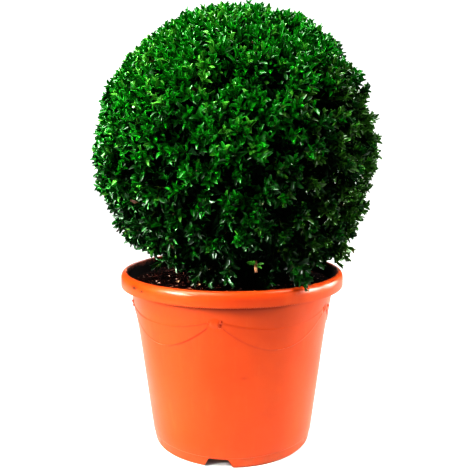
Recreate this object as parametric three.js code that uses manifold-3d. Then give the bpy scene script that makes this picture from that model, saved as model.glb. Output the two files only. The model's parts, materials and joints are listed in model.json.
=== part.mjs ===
// A clipped box ball in its patio pot. The pot is round, with a rolled rim, swags in relief and a notched
// foot. It holds compost, and the short main stem in it carries the ball of foliage.
// Millimetres, +Z up. The origin is on the ground under the middle of the pot, and -Y is the front.
// An azimuth is an angle in degrees about the pot's axis, 0 at the front and growing towards +X.

import * as THREE from 'three';
import { mergeVertices } from 'three/addons/utils/BufferGeometryUtils.js';
import Module from 'manifold-3d';

const wasm = await Module();
wasm.setup();

const clearance = 0.3; // between pieces that rest on each other

// Pot: the wall leans out from the foot to the flare, then a little more up to the rim
const potHeight = 246;
const potSides = 60;
const wallThickness = 2.5;
const footRadius = 111;
const footRing = 3.6; // thickness of the ring that the pot stands on
const footChamfer = { out: 2.2, up: 2 };
const footCorner = 6;
const footBandHeight = 14.3;
const footBandStep = 0.7;
const wallLowRadius = 114.5;
const flareHeight = 163;
const flareRadius = 133.9;
const rimHeight = 20;
const rimRadius = 157.5;
const rimRoll = { width: 7.2, height: 11 }; // the rounding of the rim's outer edge
const rimInnerRadius = 149;
const rimInnerEdge = 1.6;
const rimThickness = 7; // at the top, where wall and lip meet
const lipThickness = 2.4;
const lipDraft = 0.6;
const lipEdge = 1;
const shoulderRadius = 144.4;
const shoulderLean = 1.6; // how far the wall leans out behind the lip
const basePlateUnderside = 13.5;
const basePlateThickness = 3;
const baseFillet = 3;
const underFillet = 0.8;

// Notches through the foot, and the drainage holes in the base plate behind them
const notchCount = 3;
const notchAzimuth = -8.9;
const notchHeight = 12.5;
const notchWidthBelow = 39;
const notchWidthAbove = 26;
const notchCut = { depth: 40, below: 4, flare: 2 }; // the cut reaches past the foot ring on each side
const drainHoleCount = 8;
const drainHoleRadius = 6;
const drainCircleRadius = 78;
const drainHoleSides = 12;

// Swags hang between five knots under the rim
const swagCount = 5;
const firstKnotAzimuth = -8.4;
const knotHeight = 203;
const knotSize = { halfWidth: 8.6, depth: 2.2, halfHeight: 6.6, proud: 0.4 };
const swagMargin = 3.4; // degrees from a knot's middle to where its swags begin
const swagTop = { ends: 204, middle: 192.5, relief: 0.8 };
const swagHem = { ends: 198.5, middle: 164.2, relief: 1.5 };
const swagRoot = 1.2; // how deep a swag is rooted in the wall
const swagSteps = 10;

// Compost, a little higher round the stem than at the wall
const compostTop = 232;
const compostEdge = 229;
const compostCrownRadius = 45;
const compostShoulder = { in: 4, down: 3 }; // where it meets the wall
const compostSides = 36;

// Main stem, from the compost to the fork hidden in the ball
const stemTop = 256;
const stemTipRadius = 11;
const stemWaistRadius = 14;
const stemFlareRadius = 24;
const stemFlareHeight = 14;
const stemLean = 3; // how far the tip stands to the right of the foot
const stemSides = 16;
const stemRings = 6;
const buttress = { count: 3, depth: 0.12 }; // the root flare's lobes

// Ball of foliage: its reach is to the furthest leaf tips, and the core is what light hardly enters
const crownCentre = new THREE.Vector3(4, 0, 407);
const crownReach = 202;
const coreShare = 0.835;
const coreRoughness = 0.026; // how far the core's surface strays, as a share of the reach
const coreUnderside = 260;
const coreDetail = 6;

// Where the shears left the ball out of true: a swelling has a positive rise, a flat a negative one
const swellings = [
  { azimuth: -90, elevation: 45, spread: 30, rise: -5 },
  { azimuth: 90, elevation: 53, spread: 22, rise: 12 },
  { azimuth: 90, elevation: -32, spread: 18, rise: -2 },
  { azimuth: 90, elevation: -50, spread: 16, rise: 12 },
  { azimuth: 45, elevation: -52, spread: 18, rise: 6 },
  { azimuth: -90, elevation: -28, spread: 20, rise: 5 },
  { azimuth: -80, elevation: -58, spread: 20, rise: -12 },
  { azimuth: 20, elevation: 12, spread: 28, rise: 4 },
  { azimuth: -150, elevation: 8, spread: 26, rise: 5 },
  { azimuth: 150, elevation: -25, spread: 24, rise: -5 },
];

// The plant branches in three orders. Each limb runs from the nearest limb of the order before it to a
// point at its share of the way from the middle of the crown to the clipped surface.
const orders = [
  { count: 9, share: 0.42, startRadius: 8, endRadius: 6, sides: 6 }, // boughs
  { count: 42, share: 0.72, startRadius: 5, endRadius: 3.6, sides: 4 }, // branches
  { count: 96, share: 0.87, startRadius: 3.6, endRadius: 2.6, sides: 3 }, // shoots
];
const leader = { startRadius: 10.5, endRadius: 8, sides: 8 }; // carries on from the stem to the boughs
const wander = 0.16; // how far a limb's end strays sideways, in spacings of its order
const goldenAngle = Math.PI * (3 - Math.sqrt(5));

// Long shoots that the shears missed, and how far their leaves may stand beyond the clipped surface
const strays = [
  { azimuth: -90, elevation: 9, share: 0.885, beyond: 8 },
  { azimuth: 90, elevation: 8, share: 0.9, beyond: 9 },
  { azimuth: 40, elevation: 82, share: 0.87, beyond: 3 },
  { azimuth: 92, elevation: -44, share: 0.93, beyond: 13 },
  { azimuth: 32, elevation: -43, share: 0.94, beyond: 13 },
];
const leafBeyond = 3; // the same for the leaves of all other shoots
const limbMargin = 2; // how far twigs and leaves keep from the compost, the rim and the stem

// Leaves stand in opposite pairs, each pair turned a quarter turn from the last. A leaf here stands for
// the spray of small leaves round it.
const leafLength = 46;
const leafWidth = 27;
const leafThickness = 2.8;
const leafWidestAt = 0.58;
const leafSunk = 0.4;
const leafPairs = [
  { at: 0.8, lean: 60, scale: 1 },
  { at: 0.97, lean: 38, scale: 0.8 },
];
const seed = 11;
const coreSeed = 12;

const radians = THREE.MathUtils.degToRad;

function polar(azimuth, radius, z) {
  return new THREE.Vector3(radius * Math.sin(radians(azimuth)), -radius * Math.cos(radians(azimuth)), z);
}

function heading(azimuth, elevation) {
  return polar(azimuth, Math.cos(radians(elevation)), Math.sin(radians(elevation)));
}

// The same seed always grows the same plant.
function randomFrom(start) {
  let state = start;
  return () => {
    state = (state + 0x6d2b79f5) | 0;
    let mixed = Math.imul(state ^ (state >>> 15), 1 | state);
    mixed = (mixed + Math.imul(mixed ^ (mixed >>> 7), 61 | mixed)) ^ mixed;
    return ((mixed ^ (mixed >>> 14)) >>> 0) / 4294967296;
  };
}

// A geometry as a solid that can be joined and cut.
function solidOf(geometry) {
  geometry.deleteAttribute('normal');
  geometry.deleteAttribute('uv');
  const merged = mergeVertices(geometry, 1e-4);
  const corners = merged.index.array;
  const triangles = [];
  for (let i = 0; i < corners.length; i += 3) {
    const [a, b, c] = corners.slice(i, i + 3);
    if (a !== b && b !== c && c !== a) triangles.push(a, b, c);
  }
  return new wasm.Manifold(
    new wasm.Mesh({
      numProp: 3,
      vertProperties: merged.attributes.position.array,
      triVerts: new Uint32Array(triangles),
    }),
  );
}

function geometryOf(solid) {
  const { vertProperties, triVerts } = solid.getMesh();
  const geometry = new THREE.BufferGeometry();
  geometry.setAttribute('position', new THREE.BufferAttribute(vertProperties, 3));
  geometry.setIndex(new THREE.BufferAttribute(triVerts, 1));
  geometry.computeVertexNormals();
  return geometry;
}

// The one body that matters: scraps are dropped, and a hollow sealed by joining is filled.
function wholePiece(solid) {
  return solid.decompose().reduce((best, body) => (body.volume() > best.volume() ? body : best));
}

function turned(profile, sides) {
  const points = profile.map(([radius, z]) => new THREE.Vector2(radius, z));
  return new THREE.LatheGeometry(points, sides).rotateX(Math.PI / 2);
}

// A closed skin through a row of rings that have the same number of points, with flat ends.
function loft(rings) {
  const around = rings[0].length;
  const last = (rings.length - 1) * around;
  const triangles = [];
  for (let start = 0; start < last; start += around) {
    for (let j = 0; j < around; j++) {
      const a = start + j;
      const b = start + ((j + 1) % around);
      triangles.push(a, b, b + around, a, b + around, a + around);
    }
  }
  for (let j = 1; j + 1 < around; j++) {
    triangles.push(0, j + 1, j, last, last + j, last + j + 1);
  }
  const geometry = new THREE.BufferGeometry().setFromPoints(rings.flat());
  geometry.setIndex(triangles);
  return geometry;
}

// A tapering limb between two points.
function limb(from, to, startRadius, endRadius, sides) {
  const along = to.clone().sub(from);
  const length = along.length();
  const turn = new THREE.Quaternion().setFromUnitVectors(new THREE.Vector3(0, 1, 0), along.normalize());
  return new THREE.CylinderGeometry(endRadius, startRadius, length, sides)
    .translate(0, length / 2, 0)
    .applyQuaternion(turn)
    .translate(from.x, from.y, from.z);
}

// Pot

function wallRadius(z) {
  const { mapLinear } = THREE.MathUtils;
  if (z < flareHeight) return mapLinear(z, footCorner, flareHeight, wallLowRadius, flareRadius);
  return mapLinear(z, flareHeight, potHeight - rimHeight, flareRadius, shoulderRadius);
}

function innerRadius(z) {
  return wallRadius(z) - wallThickness;
}

// The rim is a lip that rolls over the top and hangs down clear of the wall.
function rimProfile() {
  const lipBottom = potHeight - rimHeight;
  const lipCeiling = potHeight - rimThickness;
  const roll = [];
  for (let turn = 0; turn <= 90; turn += 30) {
    roll.push([
      rimRadius - rimRoll.width * (1 - Math.cos(radians(turn))),
      potHeight - rimRoll.height * (1 - Math.sin(radians(turn))),
    ]);
  }
  return [
    [shoulderRadius, lipBottom],
    [shoulderRadius + shoulderLean, lipCeiling],
    [rimRadius - lipThickness - lipDraft, lipCeiling],
    [rimRadius - lipThickness, lipBottom],
    [rimRadius - lipEdge, lipBottom],
    [rimRadius, lipBottom + lipEdge],
    ...roll,
    [rimInnerRadius - rimInnerEdge / 2, potHeight - rimInnerEdge],
  ];
}

function potShell() {
  const plateTop = basePlateUnderside + basePlateThickness;
  const outside = [
    [footRadius, 0],
    [footRadius + footChamfer.out, footChamfer.up],
    [wallRadius(footCorner) - footBandStep, footCorner],
    [wallRadius(footBandHeight) - footBandStep, footBandHeight],
    [wallRadius(footBandHeight), footBandHeight + footBandStep],
    [wallRadius(flareHeight), flareHeight],
  ];
  const inside = [
    [innerRadius(potHeight - rimHeight), potHeight - rimHeight],
    [innerRadius(flareHeight), flareHeight],
    [innerRadius(plateTop + baseFillet), plateTop + baseFillet],
    [innerRadius(plateTop) - baseFillet, plateTop],
    [0, plateTop],
  ];
  const underneath = [
    [0, basePlateUnderside],
    [innerRadius(basePlateUnderside) - underFillet, basePlateUnderside],
    [footRadius - footRing, 0],
  ];
  return turned([...underneath, ...outside, ...rimProfile(), ...inside], potSides);
}

function notch(azimuth) {
  const { depth, below, flare } = notchCut;
  const outline = new THREE.Shape([
    new THREE.Vector2(-notchWidthBelow / 2 - flare, -below),
    new THREE.Vector2(notchWidthBelow / 2 + flare, -below),
    new THREE.Vector2(notchWidthAbove / 2, notchHeight),
    new THREE.Vector2(-notchWidthAbove / 2, notchHeight),
  ]);
  return new THREE.ExtrudeGeometry(outline, { depth, bevelEnabled: false })
    .rotateX(Math.PI / 2)
    .translate(0, depth / 2 - footRadius, 0)
    .rotateZ(radians(azimuth));
}

function drainHole(azimuth, radius) {
  const centre = polar(azimuth, radius, basePlateUnderside);
  const through = 4 * basePlateThickness;
  return new THREE.CylinderGeometry(drainHoleRadius, drainHoleRadius, through, drainHoleSides)
    .rotateX(Math.PI / 2)
    .translate(centre.x, centre.y, centre.z);
}

// A swag is a shallow crescent, proudest along its hem.
function swag(middleAzimuth) {
  const reach = 180 / swagCount - swagMargin;
  const edge = ({ ends, middle, relief }, share, azimuth) => {
    const z = middle + (ends - middle) * share * share;
    const wall = wallRadius(z);
    return { foot: polar(azimuth, wall - swagRoot, z), crest: polar(azimuth, wall + relief, z) };
  };
  const rings = [];
  for (let i = 0; i <= swagSteps; i++) {
    const share = (2 * i) / swagSteps - 1;
    const azimuth = middleAzimuth + share * reach;
    const hem = edge(swagHem, share, azimuth);
    const top = edge(swagTop, share, azimuth);
    rings.push([hem.foot, hem.crest, top.crest, top.foot]);
  }
  return loft(rings);
}

function knot(azimuth) {
  const { halfWidth, depth, halfHeight, proud } = knotSize;
  const centre = polar(azimuth, wallRadius(knotHeight) + proud, knotHeight);
  return new THREE.SphereGeometry(1, 8, 4)
    .scale(halfWidth, halfHeight, depth)
    .rotateX(Math.PI / 2)
    .rotateZ(radians(azimuth))
    .translate(centre.x, centre.y, centre.z);
}

function makePot() {
  let pot = solidOf(potShell());
  for (let i = 0; i < swagCount; i++) {
    const azimuth = firstKnotAzimuth + (i * 360) / swagCount;
    pot = pot.add(solidOf(swag(azimuth + 180 / swagCount))).add(solidOf(knot(azimuth)));
  }
  for (let i = 0; i < notchCount; i++) {
    pot = pot.subtract(solidOf(notch(notchAzimuth + (i * 360) / notchCount)));
  }
  for (let i = 0; i < drainHoleCount; i++) {
    pot = pot.subtract(solidOf(drainHole((i * 360) / drainHoleCount, drainCircleRadius)));
  }
  return wholePiece(pot.subtract(solidOf(drainHole(0, 0))));
}

// Compost

function makeCompost() {
  const floor = basePlateUnderside + basePlateThickness + clearance;
  const side = (z) => innerRadius(z) - clearance;
  const shoulder = compostEdge - compostShoulder.down;
  const profile = [
    [0, floor],
    [side(floor) - baseFillet, floor],
    [side(floor + baseFillet), floor + baseFillet],
    [side(flareHeight), flareHeight],
    [side(shoulder), shoulder],
    [side(compostEdge) - compostShoulder.in, compostEdge],
    [compostCrownRadius, compostTop],
    [0, compostTop],
  ];
  return solidOf(turned(profile, compostSides));
}

// Main stem

function makeStem() {
  const foot = compostTop + clearance;
  const height = stemTop - foot;
  const geometry = new THREE.CylinderGeometry(1, 1, height, stemSides, stemRings).rotateX(Math.PI / 2);
  const position = geometry.attributes.position;
  const point = new THREE.Vector3();
  for (let i = 0; i < position.count; i++) {
    point.fromBufferAttribute(position, i);
    const up = (point.z + height / 2) / height;
    const spread = Math.max(0, 1 - (up * height) / stemFlareHeight) ** 2;
    const lobes = 1 + buttress.depth * spread * Math.cos(buttress.count * Math.atan2(point.y, point.x));
    const shaft = THREE.MathUtils.lerp(stemWaistRadius, stemTipRadius, up);
    const radius = (shaft + (stemFlareRadius - stemWaistRadius) * spread) * lobes;
    position.setXYZ(i, point.x * radius + stemLean * up, point.y * radius, foot + up * height);
  }
  return solidOf(geometry);
}

// Ball of foliage

// How far the clipped surface lies from the middle of the crown in a direction.
function reachAlong(direction) {
  let reach = crownReach;
  for (const { azimuth, elevation, spread, rise } of swellings) {
    const away = direction.angleTo(heading(azimuth, elevation)) / radians(spread);
    reach += rise * Math.exp(-away * away);
  }
  return reach;
}

function pointInCrown(direction, share) {
  return crownCentre.clone().addScaledVector(direction, reachAlong(direction) * share);
}

// Directions spread evenly over the ball, each strayed a little.
function evenDirections(count, random) {
  const spacing = Math.sqrt((4 * Math.PI) / count);
  const directions = [];
  for (let i = 0; i < count; i++) {
    const z = 1 - (2 * i + 1) / count;
    const across = Math.sqrt(1 - z * z);
    const direction = new THREE.Vector3(
      across * Math.cos(i * goldenAngle),
      across * Math.sin(i * goldenAngle),
      z,
    );
    const stray = new THREE.Vector3(random() - 0.5, random() - 0.5, random() - 0.5);
    directions.push(direction.addScaledVector(stray, 2 * wander * spacing).normalize());
  }
  return directions;
}

function core(random) {
  const ball = new THREE.IcosahedronGeometry(1, coreDetail);
  ball.deleteAttribute('normal');
  ball.deleteAttribute('uv');
  const geometry = mergeVertices(ball, 1e-4);
  const position = geometry.attributes.position;
  const direction = new THREE.Vector3();
  for (let i = 0; i < position.count; i++) {
    direction.fromBufferAttribute(position, i).normalize();
    const point = pointInCrown(direction, coreShare + (2 * random() - 1) * coreRoughness);
    position.setXYZ(i, point.x, point.y, Math.max(point.z, coreUnderside));
  }
  return geometry;
}

// Twigs and leaves keep out of the compost, the pot's rim and the main stem.
function staysClear(point) {
  const fromAxis = Math.hypot(point.x, point.y);
  if (point.z < compostTop + limbMargin) return false;
  if (point.z < potHeight + limbMargin && fromAxis > innerRadius(compostEdge) - limbMargin) return false;
  return point.z > stemTop + limbMargin || fromAxis > stemFlareRadius + limbMargin;
}

function insideCrown(point, beyond) {
  const outward = point.clone().sub(crownCentre);
  const distance = outward.length();
  return distance <= reachAlong(outward.normalize()) + beyond;
}

// Eight faces: a root, a tip, two edges, and a raised middle above and below.
function leaf(root, along, facing, scale) {
  const length = leafLength * scale;
  const halfWidth = (leafWidth * scale) / 2;
  const across = new THREE.Vector3().crossVectors(facing, along);
  const geometry = new THREE.OctahedronGeometry(1).scale(length / 2, halfWidth, leafThickness / 2);
  const { position } = geometry.attributes;
  const forward = (leafWidestAt - 0.5) * length;
  for (let i = 0; i < position.count; i++) {
    const isEnd = Math.abs(position.getX(i)) > length / 4;
    position.setX(i, position.getX(i) + length / 2 - leafSunk + (isEnd ? 0 : forward));
  }
  const place = new THREE.Matrix4().makeBasis(along, across, facing).setPosition(root);
  return geometry.applyMatrix4(place);
}

function cornersOf(geometry) {
  const { position } = geometry.attributes;
  const corners = [];
  for (let i = 0; i < position.count; i++) corners.push(new THREE.Vector3().fromBufferAttribute(position, i));
  return corners;
}

// The leaves of a shoot: each leans out from the shoot by its pair's angle and faces its tip.
function leavesOn(from, to, turn, beyond) {
  const along = to.clone().sub(from).normalize();
  const level = new THREE.Vector3(-along.y, along.x, 0);
  const firstSide = level.length() < 0.1 ? new THREE.Vector3(1, 0, 0) : level.normalize();
  const leaves = [];
  leafPairs.forEach(({ at, lean, scale }, pair) => {
    const root = from.clone().lerp(to, at);
    for (const half of [0, Math.PI]) {
      const side = firstSide.clone().applyAxisAngle(along, turn + half + (pair * Math.PI) / 2);
      const axis = along.clone().multiplyScalar(Math.cos(radians(lean)));
      axis.addScaledVector(side, Math.sin(radians(lean))).normalize();
      const facing = along.clone().addScaledVector(axis, -along.dot(axis)).normalize();
      const made = leaf(root, axis, facing, scale);
      if (cornersOf(made).every((corner) => staysClear(corner) && insideCrown(corner, beyond))) {
        leaves.push(made);
      }
    }
  });
  return leaves;
}

function makeFoliage() {
  const random = randomFrom(seed);
  const leaderFoot = new THREE.Vector3(stemLean, 0, stemTop + clearance);
  let foliage = solidOf(core(randomFrom(coreSeed))).add(
    solidOf(limb(leaderFoot, crownCentre, leader.startRadius, leader.endRadius, leader.sides)),
  );
  let parents = [leaderFoot.clone().lerp(crownCentre, 0.5), crownCentre.clone()];
  for (const order of orders) {
    const last = order === orders.at(-1);
    const aims = evenDirections(order.count, random).map((direction) => (
      { direction, share: order.share, beyond: leafBeyond }
    ));
    if (last) {
      aims.push(...strays.map(({ azimuth, elevation, share, beyond }) => (
        { direction: heading(azimuth, elevation), share, beyond }
      )));
    }
    const ends = [];
    for (const { direction, share, beyond } of aims) {
      const turn = random() * Math.PI;
      const end = pointInCrown(direction, share);
      if (!staysClear(end)) continue;
      const from = parents.reduce((a, b) => (b.distanceTo(end) < a.distanceTo(end) ? b : a));
      foliage = foliage.add(solidOf(limb(from, end, order.startRadius, order.endRadius, order.sides)));
      if (last) {
        for (const made of leavesOn(from, end, turn, beyond)) foliage = foliage.add(solidOf(made));
      }
      ends.push(end);
    }
    parents = ends;
  }
  return wholePiece(foliage);
}

// Assembly

const plant = new THREE.Group();

function piece(name, solid, colour, roughness) {
  const material = new THREE.MeshStandardMaterial({ color: colour, roughness, metalness: 0 });
  const mesh = new THREE.Mesh(geometryOf(solid), material);
  mesh.name = name;
  plant.add(mesh);
}

piece('pot', makePot(), 0xf25c2a, 0.42);
piece('compost', makeCompost(), 0x1d120c, 0.95);
piece('main_stem', makeStem(), 0x6e5c45, 0.85);
piece('foliage_ball', makeFoliage(), 0x1c6a1c, 0.5);

export default plant;
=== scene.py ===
import json
import math

import bmesh
import bpy
import numpy as np
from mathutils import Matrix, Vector

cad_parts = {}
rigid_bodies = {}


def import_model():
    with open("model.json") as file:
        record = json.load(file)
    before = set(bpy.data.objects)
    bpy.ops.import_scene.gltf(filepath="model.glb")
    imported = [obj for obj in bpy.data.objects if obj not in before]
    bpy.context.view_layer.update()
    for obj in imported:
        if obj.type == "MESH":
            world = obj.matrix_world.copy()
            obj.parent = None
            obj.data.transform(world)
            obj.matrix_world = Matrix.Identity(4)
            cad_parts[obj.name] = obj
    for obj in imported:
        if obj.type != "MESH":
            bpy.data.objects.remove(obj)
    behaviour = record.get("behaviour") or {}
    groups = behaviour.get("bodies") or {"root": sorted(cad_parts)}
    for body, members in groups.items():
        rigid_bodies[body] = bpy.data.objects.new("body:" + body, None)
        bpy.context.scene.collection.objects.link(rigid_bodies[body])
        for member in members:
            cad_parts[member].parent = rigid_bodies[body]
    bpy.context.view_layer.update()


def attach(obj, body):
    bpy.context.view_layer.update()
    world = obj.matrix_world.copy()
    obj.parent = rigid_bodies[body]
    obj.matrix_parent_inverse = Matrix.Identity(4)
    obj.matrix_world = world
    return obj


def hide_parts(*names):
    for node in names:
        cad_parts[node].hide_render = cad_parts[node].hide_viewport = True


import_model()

scene = bpy.context.scene
mm = 0.001  # shapes and the shot are given in millimetres; meshes, finishes and the studio are in metres
fullTurn = 6.283  # in radians, for random turns and waves


# Small helpers

def polar(azimuth, radius, z):
    # azimuth in degrees about the pot's axis, 0 at the front (-Y), growing towards +X
    turn = np.radians(azimuth)
    return np.stack(np.broadcast_arrays(radius * np.sin(turn), -radius * np.cos(turn), z), axis=-1)


def heading(azimuth, elevation):
    tilt = np.radians(elevation)
    return polar(azimuth, np.cos(tilt), np.sin(tilt))


def unit(vectors):
    return vectors / np.maximum(np.linalg.norm(vectors, axis=-1, keepdims=True), 1e-9)


def smoothStep(low, high, value):
    share = np.clip((value - low) / (high - low), 0, 1)
    return share * share * (3 - 2 * share)


def newObject(name, mesh):
    made = bpy.data.objects.new(name, mesh)
    scene.collection.objects.link(made)
    return made


def meshPiece(name, points, faces, material=None, smooth=True):
    mesh = bpy.data.meshes.new(name)
    mesh.from_pydata(np.asarray(points, float).tolist(), [], [list(map(int, face)) for face in faces])
    mesh.polygons.foreach_set("use_smooth", [smooth] * len(mesh.polygons))
    if material:
        mesh.materials.append(material)
    mesh.update()
    return newObject(name, mesh)


def keepResult(piece):
    # the modifiers' result becomes the piece's own plain mesh
    graph = bpy.context.evaluated_depsgraph_get()
    graph.update()
    result = bpy.data.meshes.new_from_object(piece.evaluated_get(graph))
    piece.modifiers.clear()
    old = piece.data
    piece.data = result
    result.name = piece.name
    bpy.data.meshes.remove(old)
    return piece


def finishPiece(piece, slotName, *nodes):
    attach(piece, "root")
    if nodes:
        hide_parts(*nodes)
    return piece


def newTree(name, kind, inputs, outputs):
    # a node group with its sockets; inputs: name -> (socket kind, default); outputs: name -> socket kind
    tree = bpy.data.node_groups.new(name, kind)
    for label, (socket, value) in inputs.items():
        made = tree.interface.new_socket(label, in_out="INPUT", socket_type="NodeSocket" + socket)
        if value is not None:
            made.default_value = value
    for label, socket in outputs.items():
        tree.interface.new_socket(label, in_out="OUTPUT", socket_type="NodeSocket" + socket)
    return tree, tree.nodes.new("NodeGroupInput").outputs, tree.nodes.new("NodeGroupOutput")


def feed(tree, node, inputs):
    # each input gets a plain value, or a link when it is given another node's socket
    for key, value in inputs.items():
        if isinstance(value, bpy.types.NodeSocket):
            tree.links.new(value, node.inputs[key])
        else:
            node.inputs[key].default_value = value


def addNode(tree, kind, settings=None, inputs=None):
    node = tree.nodes.new(kind)
    for key, value in (settings or {}).items():
        setattr(node, key, value)
    feed(tree, node, inputs or {})
    return node


def addMath(tree, operation, first, second, clamp=False):
    settings = {"operation": operation, "use_clamp": clamp}
    return addNode(tree, "ShaderNodeMath", settings, {0: first, 1: second}).outputs[0]


def addRange(tree, value, fromMin=0.0, fromMax=1.0, toMin=0.0, toMax=1.0, kind="LINEAR"):
    node = addNode(tree, "ShaderNodeMapRange", {"interpolation_type": kind}, {
        "Value": value, "From Min": fromMin, "From Max": fromMax, "To Min": toMin, "To Max": toMax})
    return node.outputs["Result"]


def addNoise(tree, place, scale, detail, roughness=0.5):
    return addNode(tree, "ShaderNodeTexNoise", inputs={
        "Vector": place, "Scale": scale, "Detail": detail, "Roughness": roughness}).outputs[0]


def addMix(tree, share, first, second):
    node = addNode(tree, "ShaderNodeMix", {"data_type": "RGBA"}, {"Factor": share, "A": first, "B": second})
    return node.outputs["Result"]


def addVectorMath(tree, operation, first, second=(0, 0, 0)):
    return addNode(tree, "ShaderNodeVectorMath", {"operation": operation}, {0: first, 1: second}).outputs


def splitVector(tree, vector):
    return addNode(tree, "ShaderNodeSeparateXYZ", inputs={0: vector}).outputs


def runTree(piece, tree, values):
    # values go in by each socket's identifier, before the piece is first evaluated
    modifier = piece.modifiers.new(tree.name, "NODES")
    modifier.node_group = tree
    for item in tree.interface.items_tree:
        if item.in_out == "INPUT" and item.name in values:
            modifier[item.identifier] = values[item.name]
    return keepResult(piece)


def joinRows(rows):
    # several (points, faces) lots as one
    points, faces, start = [], [], 0
    for somePoints, someFaces in rows:
        points.append(somePoints)
        faces.extend([tuple(i + start for i in face) for face in someFaces])
        start += len(somePoints)
    return np.concatenate(points), faces


def ringFaces(rings, columns, first=0):
    # four-sided faces between each ring of points and the next
    ring, column = np.meshgrid(np.arange(rings - 1), np.arange(columns), indexing="ij")
    a = first + ring * columns + column
    b = first + ring * columns + (column + 1) % columns
    return np.stack([a, b, b + columns, a + columns], axis=-1).reshape(-1, 4).tolist()


def bell(value):
    return np.exp(-(value ** 2))


def degreesFrom(cosine):
    return np.degrees(np.arccos(np.clip(cosine, -1, 1)))


# Shader effects that several materials share

plainGrey = (0.5, 0.5, 0.5, 1)


def mottleGroup():
    # two colours mixed by noise
    tree, start, end = newTree("mottle", "ShaderNodeTree", {
        "Vector": ("Vector", None), "First": ("Color", plainGrey), "Second": ("Color", plainGrey),
        "Scale": ("Float", 10.0), "Low": ("Float", 0.4), "High": ("Float", 0.6), "Amount": ("Float", 1.0),
    }, {"Color": "Color"})
    noise = addNoise(tree, start["Vector"], start["Scale"], detail=6.0, roughness=0.6)
    spread = addRange(tree, noise, start["Low"], start["High"], kind="SMOOTHSTEP")
    amount = addMath(tree, "MULTIPLY", spread, start["Amount"])
    feed(tree, end, {"Color": addMix(tree, amount, start["First"], start["Second"])})
    return tree


def grainGroup():
    # a height for bump: broad waviness and fine grain
    tree, start, end = newTree("grain", "ShaderNodeTree", {
        "Vector": ("Vector", None), "Broad scale": ("Float", 60.0), "Fine scale": ("Float", 900.0),
        "Fine share": ("Float", 0.3),
    }, {"Height": "Float"})
    broad = addNoise(tree, start["Vector"], start["Broad scale"], detail=3.0)
    fine = addNoise(tree, start["Vector"], start["Fine scale"], detail=2.0)
    mix = addNode(tree, "ShaderNodeMix", {"data_type": "FLOAT"}, {0: start["Fine share"], 2: broad, 3: fine})
    feed(tree, end, {"Height": mix.outputs[0]})
    return tree


def coverGroup(name, inputs, maskFrom):
    # a colour covered with another where a mask says
    tree, start, end = newTree(name, "ShaderNodeTree", {
        "Vector": ("Vector", None), "Color": ("Color", plainGrey), "Cover": ("Color", plainGrey), **inputs,
    }, {"Color": "Color", "Mask": "Float"})
    mask = maskFrom(tree, start)
    feed(tree, end, {"Color": addMix(tree, mask, start["Color"], start["Cover"]), "Mask": mask})
    return tree


def dustMask(tree, start):
    # dust and splashed compost, thickest below a height and on faces that look up
    z = splitVector(tree, start["Vector"])["Z"]
    facing = splitVector(tree, addNode(tree, "ShaderNodeNewGeometry").outputs["Normal"])["Z"]
    low = addRange(tree, z, fromMax=start["Below"], toMin=1.0, toMax=0.0)
    up = addRange(tree, facing, 0.75, 1.0, toMax=0.5)
    noise = addNoise(tree, start["Vector"], start["Scale"], detail=8.0, roughness=0.65)
    patchy = addMath(tree, "MULTIPLY", addMath(tree, "ADD", low, up), addRange(tree, noise, 0.42, 0.68))
    return addMath(tree, "MULTIPLY", patchy, start["Amount"], clamp=True)


def stainAndShadeMask(tree, start):
    # compost stuck to the inside of a wall, thickest low down; on the pot it darkens the inner wall nearly to
    # the rim, partly stain and partly painted shade
    inwards = addVectorMath(tree, "MULTIPLY", start["Vector"], (-1, -1, 0))["Vector"]
    normal = addNode(tree, "ShaderNodeNewGeometry").outputs["Normal"]
    facing = addVectorMath(tree, "DOT_PRODUCT", inwards, normal)["Value"]
    noise = addNoise(tree, start["Vector"], start["Scale"], detail=7.0, roughness=0.7)
    uneven = addRange(tree, noise, toMin=-0.014, toMax=0.014)
    height = addMath(tree, "ADD", splitVector(tree, start["Vector"])["Z"], uneven)
    low = addRange(tree, height, start["Full below"], start["Clean above"], 1.0, 0.0)
    return addMath(tree, "MULTIPLY", low, addRange(tree, facing, -0.004, 0.004), clamp=True)


def scuffMask(tree, start):
    # one rubbed or dirty patch about a point
    away = addVectorMath(tree, "SUBTRACT", start["Vector"], start["Middle"])["Vector"]
    squat = addVectorMath(tree, "MULTIPLY", away, (1, 1, 2.6))["Vector"]
    length = addVectorMath(tree, "LENGTH", squat)["Value"]
    near = addRange(tree, length, fromMax=start["Size"], toMin=1.0, toMax=0.0)
    noise = addNoise(tree, start["Vector"], start["Scale"], detail=4.0, roughness=0.6)
    patchy = addMath(tree, "MULTIPLY", near, addRange(tree, noise, 0.36, 0.56))
    return addMath(tree, "MULTIPLY", patchy, start["Amount"], clamp=True)


mottle, grain = mottleGroup(), grainGroup()
dust = coverGroup("dust", {
    "Below": ("Float", 0.03), "Scale": ("Float", 30.0), "Amount": ("Float", 0.3)}, dustMask)
stain = coverGroup("stain", {
    "Full below": ("Float", 0.23), "Clean above": ("Float", 0.24), "Scale": ("Float", 60.0)}, stainAndShadeMask)
scuff = coverGroup("scuff", {
    "Middle": ("Vector", None), "Size": ("Float", 0.01), "Scale": ("Float", 300.0), "Amount": ("Float", 0.6),
}, scuffMask)


def newMaterial(name, roughness, specular):
    material = bpy.data.materials.new(name)
    material.use_nodes = True
    tree = material.node_tree
    surface = tree.nodes["Principled BSDF"]
    feed(tree, surface, {"Roughness": roughness, "Specular IOR Level": specular})
    place = addNode(tree, "ShaderNodeTexCoord").outputs["Object"]
    return material, tree, surface, place


def useGroup(tree, group, place, values):
    return addNode(tree, "ShaderNodeGroup", {"node_tree": group}, {"Vector": place, **values}).outputs


def mottled(tree, place, first, second, scale, low, high, amount=1.0):
    values = {"First": first, "Second": second, "Scale": scale, "Low": low, "High": high, "Amount": amount}
    return useGroup(tree, mottle, place, values)["Color"]


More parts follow.
